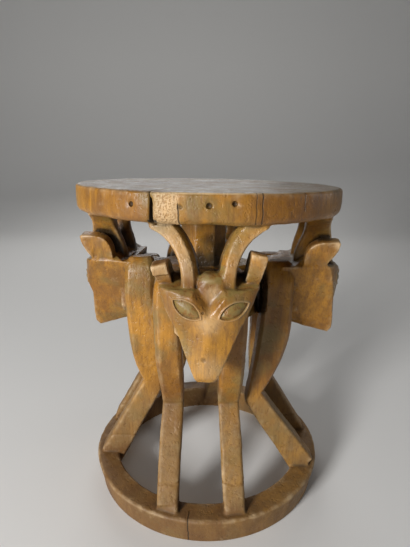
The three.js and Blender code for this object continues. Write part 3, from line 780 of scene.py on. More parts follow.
def neighbour_mean(values, edges, count):
    """For each point, the mean of the values at the points joined to it."""
    values = np.asarray(values, float)
    single = values.ndim == 1
    table = values[:, None] if single else values
    degree = np.bincount(edges.ravel(), minlength=count)
    degree = np.maximum(degree, 1)
    out = np.empty_like(table)
    for k in range(table.shape[1]):
        column = table[:, k]
        summed = np.bincount(edges[:, 0], column[edges[:, 1]], count)
        summed += np.bincount(edges[:, 1], column[edges[:, 0]], count)
        out[:, k] = summed / degree
    return out[:, 0] if single else out


def relaxed(values, edges, rounds, strength=0.5):
    """Draws places or numbers to the mean of their neighbours; strength may differ by point."""
    count = len(values)
    if np.ndim(strength):
        strength = np.asarray(strength, float)[:, None]
    for _ in range(rounds):
        values = values + (neighbour_mean(values, edges, count) - values) * strength
    return values


def linked(name, data):
    """A new object with this data, in the scene."""
    item = bpy.data.objects.new(name, data)
    bpy.context.scene.collection.objects.link(item)
    return item


def with_modifier(source, kind, **settings):
    """A new mesh: this mesh with one modifier applied."""
    holder = linked("work", source)
    modifier = holder.modifiers.new("work", kind)
    for key, value in settings.items():
        setattr(modifier, key, value)
    graph = bpy.context.evaluated_depsgraph_get()
    result = bpy.data.meshes.new_from_object(holder.evaluated_get(graph))
    bpy.data.objects.remove(holder)
    bpy.data.meshes.remove(source)
    return result


def with_split(mesh, sizes):
    """The same mesh with the old split cut out of its rim."""
    wedge_mesh = mesh_from("wedge", *make_split(sizes.seat_radius / MM))
    wedge = linked("wedge", wedge_mesh)
    mesh = with_modifier(mesh, "BOOLEAN", operation="DIFFERENCE", solver="MANIFOLD", object=wedge)
    bpy.data.objects.remove(wedge)
    bpy.data.meshes.remove(wedge_mesh)
    return mesh


# ---- carving in the surface ----


def figure_axes(figure, with_head):
    turn = math.radians(figure["azimuth"] + (figure["turn"] if with_head else 0))
    reach = np.array([math.cos(turn), math.sin(turn), 0.0])
    across = np.array([-math.sin(turn), math.cos(turn), 0.0])
    return reach, across


def in_figure(figure, with_head, points):
    """The points' reach, place across and height in a figure's own axes."""
    reach_axis, across_axis = figure_axes(figure, with_head)
    return points @ reach_axis, points @ across_axis, points[:, 2]


def chin_lean(figure, z):
    """How far a head's middle line stands aside at a height."""
    return figure["chin"] * (HEAD_TOP - z) / (HEAD_TOP - CHIN_HEIGHT)


def eye_depth(across, z, side):
    """Signed distance into one almond of an eye: above 0 inside it, in millimetres."""
    offset, height, slant = EYES[side]
    along, above = across - side * offset, z - height
    turn = side * slant
    u = along * math.cos(turn) + above * math.sin(turn)
    v = -along * math.sin(turn) + above * math.cos(turn)
    half, rise = EYE_LENGTH / 2, EYE_OPENING / 2
    radius = (half * half + rise * rise) / (2 * rise)
    low = radius - np.hypot(u, v + radius - rise)
    high = radius - np.hypot(u, v - radius + rise)
    return np.minimum(low, high)


def face_relief(figure, points, normals):
    """How far each point of a head moves outwards, its wear with painted highlights, its film with
    painted shade on the poll's top, and its share of face.
    """
    reach_axis, _ = figure_axes(figure, True)
    reach, across, z = in_figure(figure, True, points)
    across = across - chin_lean(figure, z)
    facing, upwards = normals @ reach_axis, normals[:, 2]
    ahead = reach - face_reach(figure, across, z)
    on_face = smooth(facing, 0.35, 0.6) * smooth(-np.abs(ahead), -5.0, -3.0)
    on_face = on_face * (reach > 100)
    move, lid, ball = (np.zeros(len(points)) for _ in range(3))
    for side in (-1, 1):
        depth = eye_depth(across, z - figure["eye_lift"], side)
        rim = np.exp(-((depth + 0.8) / 0.9) ** 2)
        groove = smooth(depth, -0.2, 0.8)
        bulge = np.sqrt(np.clip((depth - 0.6) / 6.6, 0.0, 1.0))
        move += LID_HEIGHT * rim - EYE_GROOVE * groove + EYEBALL_BULGE * bulge
        # The raised rim is painted paler, partly as wear and partly as a painted highlight along
        # the ridge.
        lid += LID_WEAR * rim
        ball += groove
    for height, middle, spread, rise, fade in FACE_FORMS:
        form = height * np.exp(-((np.abs(across) - middle) / spread) ** 2)
        move += form * smooth(z, *rise) * (1 - smooth(z, *fade))
    # Painted paler partly as wear and partly as a painted sheen between the eyes and on the muzzle.
    worn = sum(share * np.exp(-(across / wide) ** 2 - ((z - height) / tall) ** 2)
               for share, wide, height, tall in FACE_WEAR)

    off = np.hypot((reach - figure["out"] - POLL_CENTRE[0]) / POLL_RADII[0],
                   (across - POLL_CENTRE[1]) / POLL_RADII[1])
    poll = smooth(-off, -1.12, -0.95) * smooth(z, 302.0, 312.0) * (z < 345.0)
    shelf = smooth(upwards, 0.4, 0.8) * smooth(-np.abs(z - 324.0), -14.0, -9.0) * (reach > 112)
    # On the poll's top the film is painted shade, darker than its front; in the eyes and on the
    # shelves it is the wood's own film.
    film = np.maximum(ball * on_face, np.maximum(poll * smooth(z, 321.0, 330.0), 0.8 * shelf))
    horn = smooth(np.abs(across), 9.0, 12.0) * smooth(z, 326.0, 345.0) * (z < 388.0)
    horn = horn * (reach > 112) * smooth(facing, 0.5, 0.8) * (np.abs(across) < 62)
    horn = horn * np.where(across < 0, *HORN_WEAR)
    wear = np.maximum(lid, 0.75 * worn) * on_face
    # The poll's front below the head's top is painted paler as a painted highlight.
    wear = np.maximum(np.maximum(wear, POLL_WEAR * poll * (z < HEAD_TOP)), horn)
    dents = POLL_DENTS * poll * soft_noise(points, 6.0, 61)
    return move * on_face + dents, wear, film, on_face


def forehead_mask(points):
    """Where the carver rounded the forehead over, under the poll."""
    total = np.zeros(len(points))
    for figure in FIGURES:
        reach, across, z = in_figure(figure, True, points)
        off = np.abs(z - figure["eye_lift"] - FOREHEAD_MIDDLE)
        height = 1.0 - smooth(off, *FOREHEAD_FADE)
        total += height * (1.0 - smooth(np.abs(across), *FOREHEAD_SIDE_FADE)) * (reach > 140.0)
    return np.clip(total, 0.0, 1.0)


def leg_lines(points, figure):
    """The scribed line across each lower leg, as a depth."""
    reach, across, z = in_figure(figure, False, points)
    waver = 0.8 * np.sin(across * 0.35)
    line = np.exp(-((z - PASTERN_LINE - waver) / 1.1) ** 2)
    on_legs = (reach > 100) & (np.abs(across - figure["foot_aside"]) < FOOT_OFFSET + 20)
    return -PASTERN_LINE_DEPTH * line * on_legs


def length(name, description, default, **limits):
    """A setting that is a length, in metres."""
    return bpy.props.FloatProperty(name=name, description=description, default=default,
                                   unit="LENGTH", subtype="DISTANCE", **limits)


def angle(name, description, degrees):
    """A setting that is an angle; its default is given in degrees."""
    return bpy.props.FloatProperty(name=name, description=description,
                                   default=math.radians(degrees), unit="ROTATION",
                                   subtype="ANGLE")


def power(name, description, default):
    """A setting that is the power of a lamp, in watts."""
    return bpy.props.FloatProperty(name=name, description=description, default=default,
                                   unit="POWER")


def tint(name, description, default):
    """A setting that is a colour."""
    return bpy.props.FloatVectorProperty(name=name, description=description, default=default,
                                         subtype="COLOR", size=3, min=0.0, max=1.0)


class StoolSizes(bpy.types.PropertyGroup):
    """Sizes of the carving that a user may want to change"""

    stool_height: length("Height", "Height of the stool at the seat's higher edge",
                         float(CAD_HIGH.z - CAD_LOW.z))
    seat_radius: length("Seat radius", "Radius of the round seat", 0.168)
    seat_thickness: length("Seat thickness", "Thickness of the seat", 0.032)
    seat_tilt: angle("Seat tilt", "How far the seat leans to its right", 0.8)
    ring_radius_top: length("Ring radius, top", "Outer radius of the base ring at its top", 0.164)
    ring_radius_bottom: length("Ring radius, bottom",
                               "Outer radius of the base ring on the floor", 0.158)
    ring_bore: length("Ring bore", "Inner radius of the base ring", 0.1345)
    ring_height: length("Ring height", "Height of the base ring", 0.036)
    post_radius: length("Post radius", "Radius over the corners of the hewn post", 0.031)
    grain_size: length("Surface step", "Distance between the points of the carved surface",
                       0.00125, min=0.001, max=0.01)
    tool_depth: length("Tool mark depth", "Depth of the scoops that the gouge left", 0.00045)
    triangle_limit: bpy.props.IntProperty(
        name="Triangle limit", description="Most triangles of the finished piece",
        default=190000, min=10000, max=198000)


class WoodColours(bpy.types.PropertyGroup):
    """Colours of the old polished wood"""

    polished: tint("Polished wood", "Golden ochre of the handled wood", (0.41, 0.19, 0.024))
    amber: tint("Amber wood", "Orange-brown of the handled wood", (0.25, 0.106, 0.014))
    shaded: tint("Brown wood", "Darker brown patches and grain", (0.13, 0.06, 0.017))
    olive: tint("Olive film", "Grey-green film of old polish", (0.185, 0.14, 0.045))
    red: tint("Red-brown wood", "Redder fibres and stains, most on the right of the rim",
              (0.15, 0.062, 0.017))
    dusty: tint("Dusty wood", "Tan wood of the lower legs and the ring", (0.21, 0.132, 0.05))
    # Partly the seat's own worn grey-brown and partly a painted sheen: the seat top is painted
    # greyer and paler than the wood.
    seat_top_and_sheen: tint("Seat top", "Dark grey-brown of the worn seat", (0.24, 0.185, 0.13))
    worn: tint("Worn wood", "Pale wood on rubbed edges and lids", (0.68, 0.50, 0.29))
    # Grime is real dirt in the hollows, cracks and holes, and also painted shade in sheltered
    # places and inside the split.
    grime_and_shade: tint("Grime", "Old dark dirt in the hollows", (0.022, 0.014, 0.007))


class StudioSettings(bpy.types.PropertyGroup):
    """The stage, its lights and its camera"""

    key_power: power("Key light", "Power of the large soft light", 58.0)
    fill_power: power("Fill light", "Power of the weak light from the right", 3.5)
    back_power: power("Back light", "Power of the light behind the seat", 15.0)
    sky: bpy.props.FloatProperty(
        name="Ambient light", description="Strength of the light from all round", default=0.085)
    floor: tint("Floor", "Colour of the plain floor", (0.74, 0.73, 0.71))
    pitch: angle("Camera pitch", "How far the camera looks down", 15.15)
    lens: bpy.props.FloatProperty(
        name="Lens", description="Focal length on a 36 mm frame height",
        default=27.31, unit="CAMERA")


# ---- shader building ----


class Wire:
    """One value in a shader; arithmetic on it adds Math nodes."""

    def __init__(self, paint, socket):
        self.paint = paint
        self.socket = socket

    def math(self, operation, *others, clamp=False):
        return self.paint.node("ShaderNodeMath", {"operation": operation, "use_clamp": clamp},
                               dict(enumerate((self, *others))))

    def __add__(self, other):
        return self.math("ADD", other)

    __radd__ = __add__

    def __mul__(self, other):
        return self.math("MULTIPLY", other)

    __rmul__ = __mul__

    def __sub__(self, other):
        return self.math("SUBTRACT", other)

    def __rsub__(self, other):
        return self.paint.node("ShaderNodeMath", {"operation": "SUBTRACT"}, {0: other, 1: self})

    def __truediv__(self, other):
        return self.math("DIVIDE", other)

    def clamped(self):
        return self.math("ADD", 0.0, clamp=True)

    def step(self, low, high):
        """A soft step from 0 at low to 1 at high."""
        return self.paint.node("ShaderNodeMapRange", {"interpolation_type": "SMOOTHSTEP"},
                               {"Value": self, "From Min": low, "From Max": high})

    def within(self, start, end):
        """1 between the start and the end, with a soft step at each."""
        return self.step(*start) * (1.0 - self.step(*end))


class Paint:
    """Adds nodes to one material."""

    def __init__(self, name):
        self.material = bpy.data.materials.new(name)
        self.material.use_nodes = True
        self.tree = self.material.node_tree
        self.tree.nodes.clear()

    def node(self, kind, settings=None, inputs=None, output=0):
        """A node of this type with its settings, then its sockets' values or links."""
        node = self.tree.nodes.new(kind)
        for key, value in (settings or {}).items():
            setattr(node, key, value)
        for key, value in (inputs or {}).items():
            if isinstance(key, str) and key not in node.inputs:
                raise RuntimeError(f"{kind} has no socket {key}")
            if isinstance(value, Wire):
                self.tree.links.new(value.socket, node.inputs[key])
            else:
                node.inputs[key].default_value = value
        return Wire(self, node.outputs[output]) if node.outputs else None

    def attribute(self, name):
        return self.node("ShaderNodeAttribute", {"attribute_name": name}, output=2)

    def parts(self, vector):
        """The x, y and z of a vector."""
        split = self.node("ShaderNodeSeparateXYZ", inputs={0: vector}).socket.node
        return [Wire(self, socket) for socket in split.outputs]

    def vector(self, operation, *others, output=0):
        return self.node("ShaderNodeVectorMath", {"operation": operation},
                         dict(enumerate(others)), output)

    def noise(self, place, scale, detail=2.0, roughness=0.5, output=0):
        return self.node("ShaderNodeTexNoise", {},
                         {"Vector": place, "Scale": scale, "Detail": detail,
                          "Roughness": roughness}, output)

    def blend(self, first, second, share):
        """Two colours mixed; share 0 gives the first."""
        ends = [value if isinstance(value, Wire) else (*value, 1.0) for value in (first, second)]
        return self.node("ShaderNodeMix", {"data_type": "RGBA", "clamp_factor": True},
                         {0: share, 6: ends[0], 7: ends[1]}, 2)

    def finish(self, inputs):
        """The surface itself, from what its sockets get."""
        surface = self.node("ShaderNodeBsdfPrincipled", {}, inputs)
        self.node("ShaderNodeOutputMaterial", {}, {"Surface": surface})

    def layered(self, colour, *layers):
        """A colour with others laid over it in turn; each layer is a colour and its share."""
        for over, share in layers:
            colour = self.blend(colour, over, share)
        return colour


def on_cylinder(degrees, height, radius):
    turn = math.radians(degrees)
    return (radius * math.cos(turn) * MM, radius * math.sin(turn) * MM, height * MM)


def across_from(x, y, degrees):
    """Millimetres to the side of the upright plane at an azimuth."""
    turn = math.radians(degrees)
    return x * (-math.sin(turn) / MM) + y * (math.cos(turn) / MM)


def crack_mask(x, y, z, wander, degrees, width, span, radius):
    """A thin upright crack at an azimuth, between two heights, in millimetres."""
    turn = math.radians(degrees)
    aside = across_from(x, y, degrees) + wander
    outwards = x * (math.cos(turn) / MM) + y * (math.sin(turn) / MM)
    line = 1.0 - aside.math("ABSOLUTE").step(width * 0.35, width)
    low, high = ((end - 1.5, end + 1.5) for end in span)
    return line * outwards.step(radius - 14, radius - 8) * (z / MM).within(low, high)


def darkest(masks):
    """The strongest of several masks at each place."""
    strongest = masks[0]
    for mask in masks[1:]:
        strongest = strongest.math("MAXIMUM", mask)
    return strongest


def wood_material(colours):
    """Old polished wood: upright grain, patches, worn edges, dirt in the hollows, painted shade in
    sheltered places and in the split, painted highlights on lids, face and poll, and a seat top
    partly painted as sheen.
    """
    paint = Paint("polished_old_wood")
    place = paint.node("ShaderNodeTexCoord", output=3)
    x, y, z = paint.parts(place)
    normal_z = paint.parts(paint.node("ShaderNodeNewGeometry", output=1))[2]
    hollow, edge, rubbed_and_lit, eyes, shade = (paint.attribute(name) for name in FACTS)

    warp = paint.vector("SUBTRACT", paint.noise(place, 5.0, 2.0, output=1), (0.5, 0.5, 0.5))
    bent = paint.vector("MULTIPLY_ADD", warp, (0.03, 0.03, 0.02), place)
    upright = paint.vector("MULTIPLY", bent, (1.0, 1.0, 0.08))
    fibre = paint.noise(upright, 520.0, 3.0, 0.65)
    streak = paint.noise(upright, 120.0, 4.0, 0.6)
    cloud = paint.noise(place, 8.0, 3.0, 0.55)
    patch = paint.noise(paint.vector("ADD", place, (3.1, 1.7, 0.4)), 17.0, 4.0, 0.6)
    film = paint.noise(paint.vector("MULTIPLY", bent, (1.0, 1.0, 0.3)), 38.0, 4.0, 0.65)
    mottle = paint.noise(place, 48.0, 4.0, 0.65)
    pores = paint.noise(place, 150.0, 3.0, 0.65)
    fine = paint.noise(place, 240.0, 3.0, 0.6)
    specks = paint.noise(place, 520.0, 2.0, 0.5)
    growth = paint.noise(paint.vector("MULTIPLY", bent, (0.16, 1.0, 1.0)), 150.0, 3.0, 0.6)

    top = normal_z.step(0.72, 0.9) * z.step(*SEAT_FACE)
    rim = z.step(*RIM_FOOT) * (1.0 - top)
    low = 1.0 - (z + (patch - 0.5) * 0.08).step(*DUST_END)
    # The red stain on the right of the rim is real, but it stops short of the far right so that end
    # stays paler, as painted light from the right.
    right = x.within((-0.01, 0.07), (0.10, 0.14)) * rim
    in_front = 1.0 - y.step(-0.02, 0.0)

    golden = (cloud * 0.6 + patch * 0.5 + streak * 0.15).step(0.52, 0.74)
    brown = (film * 0.75 + mottle * 0.2 + (1.0 - streak) * 0.3).step(0.55, 0.76)
    stain = (patch * 0.6 + (1.0 - cloud) * 0.6).step(0.60, 0.72)
    foot = 1.0 - (z + (mottle - 0.5) * 0.03).step(*FOOT_END)
    dull = foot * (0.5 + film.step(0.4, 0.6) * 0.35) * (1.0 - x.step(0.0, 0.13) * 0.75)
    colour = paint.layered(
        paint.blend(colours.amber, colours.polished, golden),
        (colours.shaded, brown * 0.7),
        (colours.olive, (1.0 - patch).step(0.46, 0.66) * 0.6),
        (colours.red, right * (0.35 + mottle * 0.75)),
        (colours.red, stain * 0.4),
        (colours.dusty, low * (0.30 + mottle * 0.55)),
        (colours.shaded, dull),
        (colours.red, (1.0 - fibre.step(0.34, 0.50)) * 0.5),
        (colours.worn, mottle.step(0.54, 0.74) * fine.step(0.4, 0.7) * 0.2))
    # The seat top: its base colour is greyed and lightened as a painted sheen, with real patches
    # and grain laid over it.
    seat = paint.layered(
        paint.blend(colours.seat_top_and_sheen, colours.dusty, patch.step(0.42, 0.62) * 0.75),
        (colours.grime_and_shade, (1.0 - growth.step(0.34, 0.56)) * 0.55),
        (colours.red, film.step(0.50, 0.62) * 0.6),
        (colours.grime_and_shade, (1.0 - cloud.step(0.40, 0.52)) * 0.4))

    lip = z.step(*LIP_START) * (1.0 - normal_z.step(0.85, 0.97)) * x.step(-0.07, -0.02)
    scar = across_from(x, y, PALE_SCAR_AZIMUTH).math("ABSOLUTE") + (mottle - 0.5) * 8.0
    scar = (1.0 - scar.step(*PALE_SCAR_HALF)) * rim * in_front
    pits = scar * specks.step(0.46, 0.70)
    # Painted shade: the inside of the split is painted nearly black.
    split_shade = across_from(x, y, math.degrees(SPLIT_AZIMUTH)).math("ABSOLUTE")
    radius = paint.vector("LENGTH", paint.vector("MULTIPLY", place, (1.0, 1.0, 0.0)), output=1)
    split_shade = (1.0 - split_shade.step(*SLOT_HALF)) * (radius / MM).within(*SLOT_REACH)
    split_shade = split_shade * z.within(*SLOT_SPAN) * in_front
    wander = paint.noise(paint.vector("MULTIPLY", place, (0.0, 0.0, 1.0)), 90.0, 2.0)
    wander = (wander - 0.5) * 3.0
    cracks = darkest([crack_mask(x, y, z, wander, *crack) for crack in CRACKS])
    spots = []
    for degrees, height, size in RIM_HOLES:
        centre = on_cylinder(degrees, height, RIM_RADIUS - 1.0)
        gap = paint.vector("DISTANCE", place, centre, output=1) / MM + (mottle - 0.5) * 1.5
        spots.append(1.0 - gap.step(size * 0.7, size * 1.25))
    for centre, size in KNOTS:
        centre = tuple(k * MM for k in centre)
        gap = paint.vector("DISTANCE", place, centre, output=1) / MM + (mottle - 0.5) * 2.0
        spots.append((1.0 - gap.step(size * 0.4, size * 1.3)) * 0.7)
    spots = darkest(spots)
    colour = paint.layered(
        colour,
        (seat, top),
        # Pale wear, with painted highlights on the lids, the face and the poll's front.
        (colours.worn, rubbed_and_lit * (0.25 + mottle * 0.7) * 0.8),
        # Olive and brown film in the eyes and on the shelves; on the poll's top it is painted
        # shade.
        (colours.olive, eyes * pores.step(0.34, 0.56) * 0.75),
        (colours.shaded, eyes * (1.0 - pores.step(0.40, 0.52)) * 0.45),
        (colours.grime_and_shade, hollow * (0.6 + mottle * 0.5)),
        # Painted shade: places that the stool itself shelters from the open air are darkened.
        (colours.grime_and_shade, shade.step(0.16, 0.70) * 0.96),
        (colours.worn, edge * mottle.step(0.36, 0.62) * 0.65),
        (colours.worn, lip * 0.6),
        (colours.worn, scar * 0.45),
        (colours.amber, pits * 0.6),
        (colours.grime_and_shade, split_shade * 0.93),
        (colours.grime_and_shade, cracks * 0.8),
        (colours.grime_and_shade, spots * 0.75))

    rough = 0.40 + (fine - 0.5) * 0.4 + low * 0.22 + hollow * 0.25 + split_shade * 0.4 + scar * 0.2
    rough = rough + top * 0.1 - (1.0 - mottle.step(0.36, 0.52)) * 0.12
    rough = (rough + (film - 0.5) * 0.3).clamped()
    height = fibre * 0.25 + fine * 0.5 + mottle * 1.1 + pores.step(0.30, 0.46) * 0.5
    height = height - cracks * 2.5 - spots * 1.5 - pits * 0.8
    bump = paint.node("ShaderNodeBump", {}, {"Strength": 0.8, "Distance": 0.0009, "Height": height})
    paint.finish({"Base Color": colour, "Roughness": rough, "Normal": bump, "IOR": 1.5,
                  "Specular IOR Level": 0.38})
    return paint.material


def plain_material(name, colour, roughness):
    paint = Paint(name)
    paint.finish({"Base Color": (*colour, 1.0), "Roughness": roughness,
                  "Specular IOR Level": 0.2})
    return paint.material


# ---- operators ----


def carved_mesh(sizes):
    """All the forms as one closed surface with even quads."""
    height = sizes.stool_height / MM
    horn_end = height - sizes.seat_thickness / MM + HORN_INTO_SEAT
    shapes = [make_seat(sizes), make_ring(sizes), make_hub(sizes)]
    shapes += [make_figure(figure, horn_end) for figure in FIGURES]
    rough = mesh_from("rough", *joined(shapes))
    return with_modifier(rough, "REMESH", mode="VOXEL", voxel_size=sizes.grain_size, adaptivity=0.0)


def refine_eyes(mesh):
    """Splits the faces round the eyes, so that their grooves come out crisp."""
    work = bmesh.new()
    work.from_mesh(mesh)
    centres = []
    for figure in FIGURES:
        reach_axis, across_axis = figure_axes(figure, True)
        for side in (-1, 1):
            offset, height, _ = EYES[side]
            height += figure["eye_lift"]
            reach = float(face_reach(figure, offset, height))
            aside = side * offset + chin_lean(figure, height)
            point = reach_axis * reach + across_axis * aside
            centres.append(Vector((point[0], point[1], height)) * MM)
    radius = (EYE_LENGTH / 2 + 4.0) * MM
    faces = [f for f in work.faces
             if any((f.calc_center_median() - c).length < radius for c in centres)]
    edges = list({e for f in faces for e in f.edges})
    bmesh.ops.subdivide_edges(work, edges=edges, cuts=2, use_grid_fill=True)
    bmesh.ops.triangulate(work, faces=work.faces[:])
    work.to_mesh(mesh)
    work.free()
    return mesh


def carve_surface(mesh, sizes):
    """Soft edges, wavy hand-cut lines, tool marks, eyes, holes, and rubbed places with painted
    highlights and painted shade.
    """
    edges = read_edges(mesh)
    points = relaxed(read_points(mesh), edges, 1)
    softness = FOREHEAD_SOFTNESS * forehead_mask(points)
    points = relaxed(points, edges, FOREHEAD_ROUNDS, softness)
    write_points(mesh, points)
    normals = read_normals(mesh)
    z, upwards = points[:, 2], normals[:, 2]

    move, rubbed_and_lit, eyes, faces = (np.zeros(len(points)) for _ in range(4))
    for figure in FIGURES:
        relief, wear, film, on_face = face_relief(figure, points, normals)
        rubbed_and_lit, eyes, faces = rubbed_and_lit + wear, eyes + film, faces + on_face
        reach_axis, _ = figure_axes(figure, True)
        points = points + relief[:, None] * reach_axis
        move += leg_lines(points, figure)
    flat_seat = smooth(upwards, 0.6, 0.9) * (z > 400)
    hidden = smooth(-upwards, 0.5, 0.9) * (z > 200)
    marks = scoops(points * SCOOP_STRETCH, *SCOOPS) - SCOOP_MEAN
    coarse = scoops(points, *WIDE_SCOOPS) - SCOOP_MEAN
    depth = sizes.tool_depth / MM
    move += depth * marks * (1 - SEAT_FLATNESS * flat_seat)
    move += depth * WIDE_SCOOP_DEPTH * coarse * (0.5 + hidden)
    move += sum(height * soft_noise(points, size, seed) for height, size, seed in RIPPLES)
    for degrees, height, size in RIM_HOLES:
        centre = np.array(on_cylinder(degrees, height, RIM_RADIUS)) / MM
        gap = np.linalg.norm(points - centre, axis=1)
        move -= RIM_HOLE_DEPTH * (1 - smooth(gap, size * 0.5, size * 1.15))
    points = points + normals * np.where(z < 3, 0.0, move)[:, None]
    waves = np.stack([soft_noise(points, WANDER_SIZE, seed) for seed in WANDER_SEEDS], -1)
    lift = smooth(z, 2.0, 20.0) * (1 - flat_seat)
    points += waves * WANDER * lift[:, None]
    points[:, 2] = np.maximum(points[:, 2], 0.0)
    write_points(mesh, points)
    return mesh, rubbed_and_lit, eyes, faces


def surface_facts(mesh):
    """For each point: how hollow and how edge-like the surface is there, from 0 to 1."""
    edges, points = read_edges(mesh), read_points(mesh)
    even = relaxed(points, edges, EVEN_ROUNDS)
    sunk = np.einsum("ij,ij->i", even - points, read_normals(mesh))
    sunk = relaxed(sunk, edges, 4)
    return smooth(sunk, *HOLLOW_SPAN), smooth(-sunk, *EDGE_SPAN)


def carried_over(facts, source_points, target_points):
    """Facts of another mesh, taken from its nearest points."""
    tree = KDTree(len(source_points))
    for index, point in enumerate(source_points):
        tree.insert(point, index)
    tree.balance()
    nearest = np.array([tree.find(point)[1] for point in target_points])
    return [fact[nearest] for fact in facts]


def shelter(mesh):
    """How much of the open air over each point is blocked by the stool itself, 0 to 1."""
    tree = BVHTree.FromPolygons([v.co for v in mesh.vertices], [p.vertices for p in mesh.polygons])
    normals = read_normals(mesh)
    points = read_points(mesh) * MM
    generator = np.random.default_rng(7)
    spread = generator.normal(size=(SHELTER_RAYS, 3))
    spread /= np.linalg.norm(spread, axis=1, keepdims=True)
    blocked = np.zeros(len(points))
    starts = points + normals * SHELTER_START
    for ray in spread:
        ways = normals * 1.05 + ray
        ways /= np.linalg.norm(ways, axis=1, keepdims=True)
        hits = [tree.ray_cast(start, way, SHELTER_REACH)[0] for start, way in zip(starts, ways)]
        blocked += [hit is not None for hit in hits]
    return relaxed(blocked / SHELTER_RAYS, read_edges(mesh), 3, 0.6)


def triangle_count(mesh):
    return sum(len(polygon.vertices) - 2 for polygon in mesh.polygons)


def add_attribute(mesh, name, values):
    layer = mesh.attributes.new(name, "FLOAT", "POINT")
    layer.data.foreach_set("value", np.asarray(values, np.float32))


class STOOL_OT_carve(bpy.types.Operator):
    """Carves the stool as one closed mesh and gives it its wood"""

    bl_idname = "stool.carve"
    bl_label = "Carve Stool"
    bl_options = {"REGISTER", "UNDO"}

    def execute(self, context):
        sizes, colours = context.scene.stool_sizes, context.scene.stool_wood
        mesh = refine_eyes(carved_mesh(sizes))
        mesh, rubbed_and_lit, eyes, faces = carve_surface(mesh, sizes)
        hollow, edge = surface_facts(mesh)
        edge = edge * (1.0 - 0.75 * np.clip(faces, 0.0, 1.0))
        fine_points = read_points(mesh)
        mesh = with_split(mesh, sizes)
        ratio = min(1.0, sizes.triangle_limit / triangle_count(mesh))
        mesh = with_modifier(mesh, "DECIMATE", ratio=ratio, use_collapse_triangulate=True)
        mesh.validate()
        facts = carried_over((hollow, edge, rubbed_and_lit, eyes), fine_points, read_points(mesh))
        # The shelter share becomes painted shade in the material.
        facts.append(smooth(shelter(mesh), *SHELTER_SPAN))
        for name, values in zip(FACTS, facts):
            add_attribute(mesh, name, values)
        mesh.polygons.foreach_set("use_smooth", [True] * len(mesh.polygons))
        mesh.name = PIECE
        piece = linked(PIECE, mesh)
        piece.location = Vector(AXIS_SHIFT) * MM
        mesh.materials.clear()
        mesh.materials.append(wood_material(colours))
        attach(piece, "root")
        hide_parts(NODE)
        return {"FINISHED"}


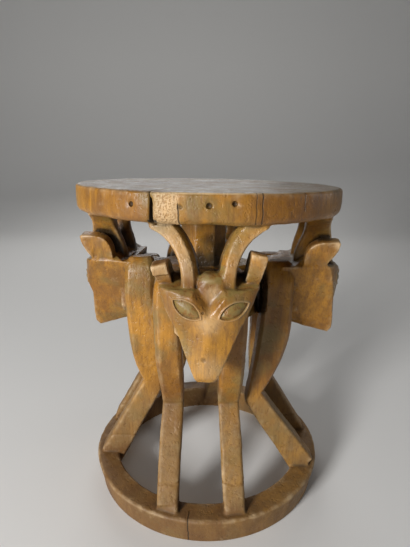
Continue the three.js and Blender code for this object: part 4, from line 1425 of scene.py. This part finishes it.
class STOOL_OT_stage(bpy.types.Operator):
    """Sets the floor, the soft lights and the camera"""

    bl_idname = "stool.stage"
    bl_label = "Set Stage"
    bl_options = {"REGISTER", "UNDO"}

    def execute(self, context):
        scene, studio = context.scene, context.scene.stool_studio
        self.add_floor(studio)
        self.add_lights(scene, studio)
        self.add_camera(scene, studio)
        return {"FINISHED"}

    def add_floor(self, studio):
        rows = [(-FLOOR_HALF, 0.0), (FLOOR_BACK - BACKDROP_BEND, 0.0)]
        for step in range(1, 13):
            turn = step / 12 * math.pi / 2
            rows.append((FLOOR_BACK - BACKDROP_BEND + BACKDROP_BEND * math.sin(turn),
                         BACKDROP_BEND * (1 - math.cos(turn))))
        rows.append((FLOOR_BACK, BACKDROP_TOP))
        points = [(x, y, z) for y, z in rows for x in (-FLOOR_HALF, FLOOR_HALF)]
        faces = [(2 * k, 2 * k + 1, 2 * k + 3, 2 * k + 2) for k in range(len(rows) - 1)]
        mesh = bpy.data.meshes.new("studio_floor")
        mesh.from_pydata(points, [], faces)
        mesh.polygons.foreach_set("use_smooth", [True] * len(mesh.polygons))
        floor = linked("studio_floor", mesh)
        mesh.materials.append(plain_material("pale_floor", studio.floor, 0.85))

    def add_lights(self, scene, studio):
        powers = (studio.key_power, studio.fill_power, studio.back_power)
        for (name, size, place), watts in zip(LAMPS, powers):
            data = bpy.data.lights.new(f"studio_{name}", "AREA")
            data.energy, data.size, data.shape = watts, size, "SQUARE"
            lamp = linked(f"studio_{name}", data)
            lamp.location = place
            aim = LAMP_TARGET - Vector(place)
            lamp.rotation_euler = aim.to_track_quat("-Z", "Y").to_euler()
        world = scene.world or bpy.data.worlds.new("studio_air")
        scene.world = world
        world.use_nodes = True
        backdrop = world.node_tree.nodes["Background"]
        backdrop.inputs["Color"].default_value = SKY_COLOUR
        backdrop.inputs["Strength"].default_value = studio.sky

    def add_camera(self, scene, studio):
        data = bpy.data.cameras.new("studio_camera")
        data.sensor_fit, data.sensor_height, data.lens = "VERTICAL", SENSOR_HEIGHT, studio.lens
        data.clip_start, data.clip_end = 0.02, 30.0
        camera = linked("studio_camera", data)
        tilt = Matrix.Rotation(math.pi / 2 - studio.pitch, 4, "X")
        roll = Matrix.Rotation(CAMERA_ROLL, 4, "Z")
        camera.matrix_world = Matrix.Translation(CAMERA_PLACE) @ tilt @ roll
        scene.camera = camera
        scene.view_settings.view_transform = "Standard"


class STOOL_PT_panel(bpy.types.Panel):
    """Lists the stool's operators and settings"""

    bl_label = "Carved Stool"
    bl_idname = "STOOL_PT_panel"
    bl_space_type = "VIEW_3D"
    bl_region_type = "UI"
    bl_category = "Stool"

    def draw(self, context):
        column = self.layout.column()
        column.operator(STOOL_OT_carve.bl_idname)
        column.operator(STOOL_OT_stage.bl_idname)
        for group in (context.scene.stool_sizes, context.scene.stool_wood,
                      context.scene.stool_studio):
            box = self.layout.box()
            for key in group.__annotations__:
                box.prop(group, key)


CLASSES = (StoolSizes, WoodColours, StudioSettings, STOOL_OT_carve, STOOL_OT_stage,
           STOOL_PT_panel)


def register():
    for cls in CLASSES:
        bpy.utils.register_class(cls)
    bpy.types.Scene.stool_sizes = bpy.props.PointerProperty(type=StoolSizes)
    bpy.types.Scene.stool_wood = bpy.props.PointerProperty(type=WoodColours)
    bpy.types.Scene.stool_studio = bpy.props.PointerProperty(type=StudioSettings)


def unregister():
    del bpy.types.Scene.stool_sizes
    del bpy.types.Scene.stool_wood
    del bpy.types.Scene.stool_studio
    for cls in reversed(CLASSES):
        bpy.utils.unregister_class(cls)


def main():
    register()
    bpy.ops.stool.stage()
    bpy.ops.stool.carve()


if __name__ == "__main__":
    main()
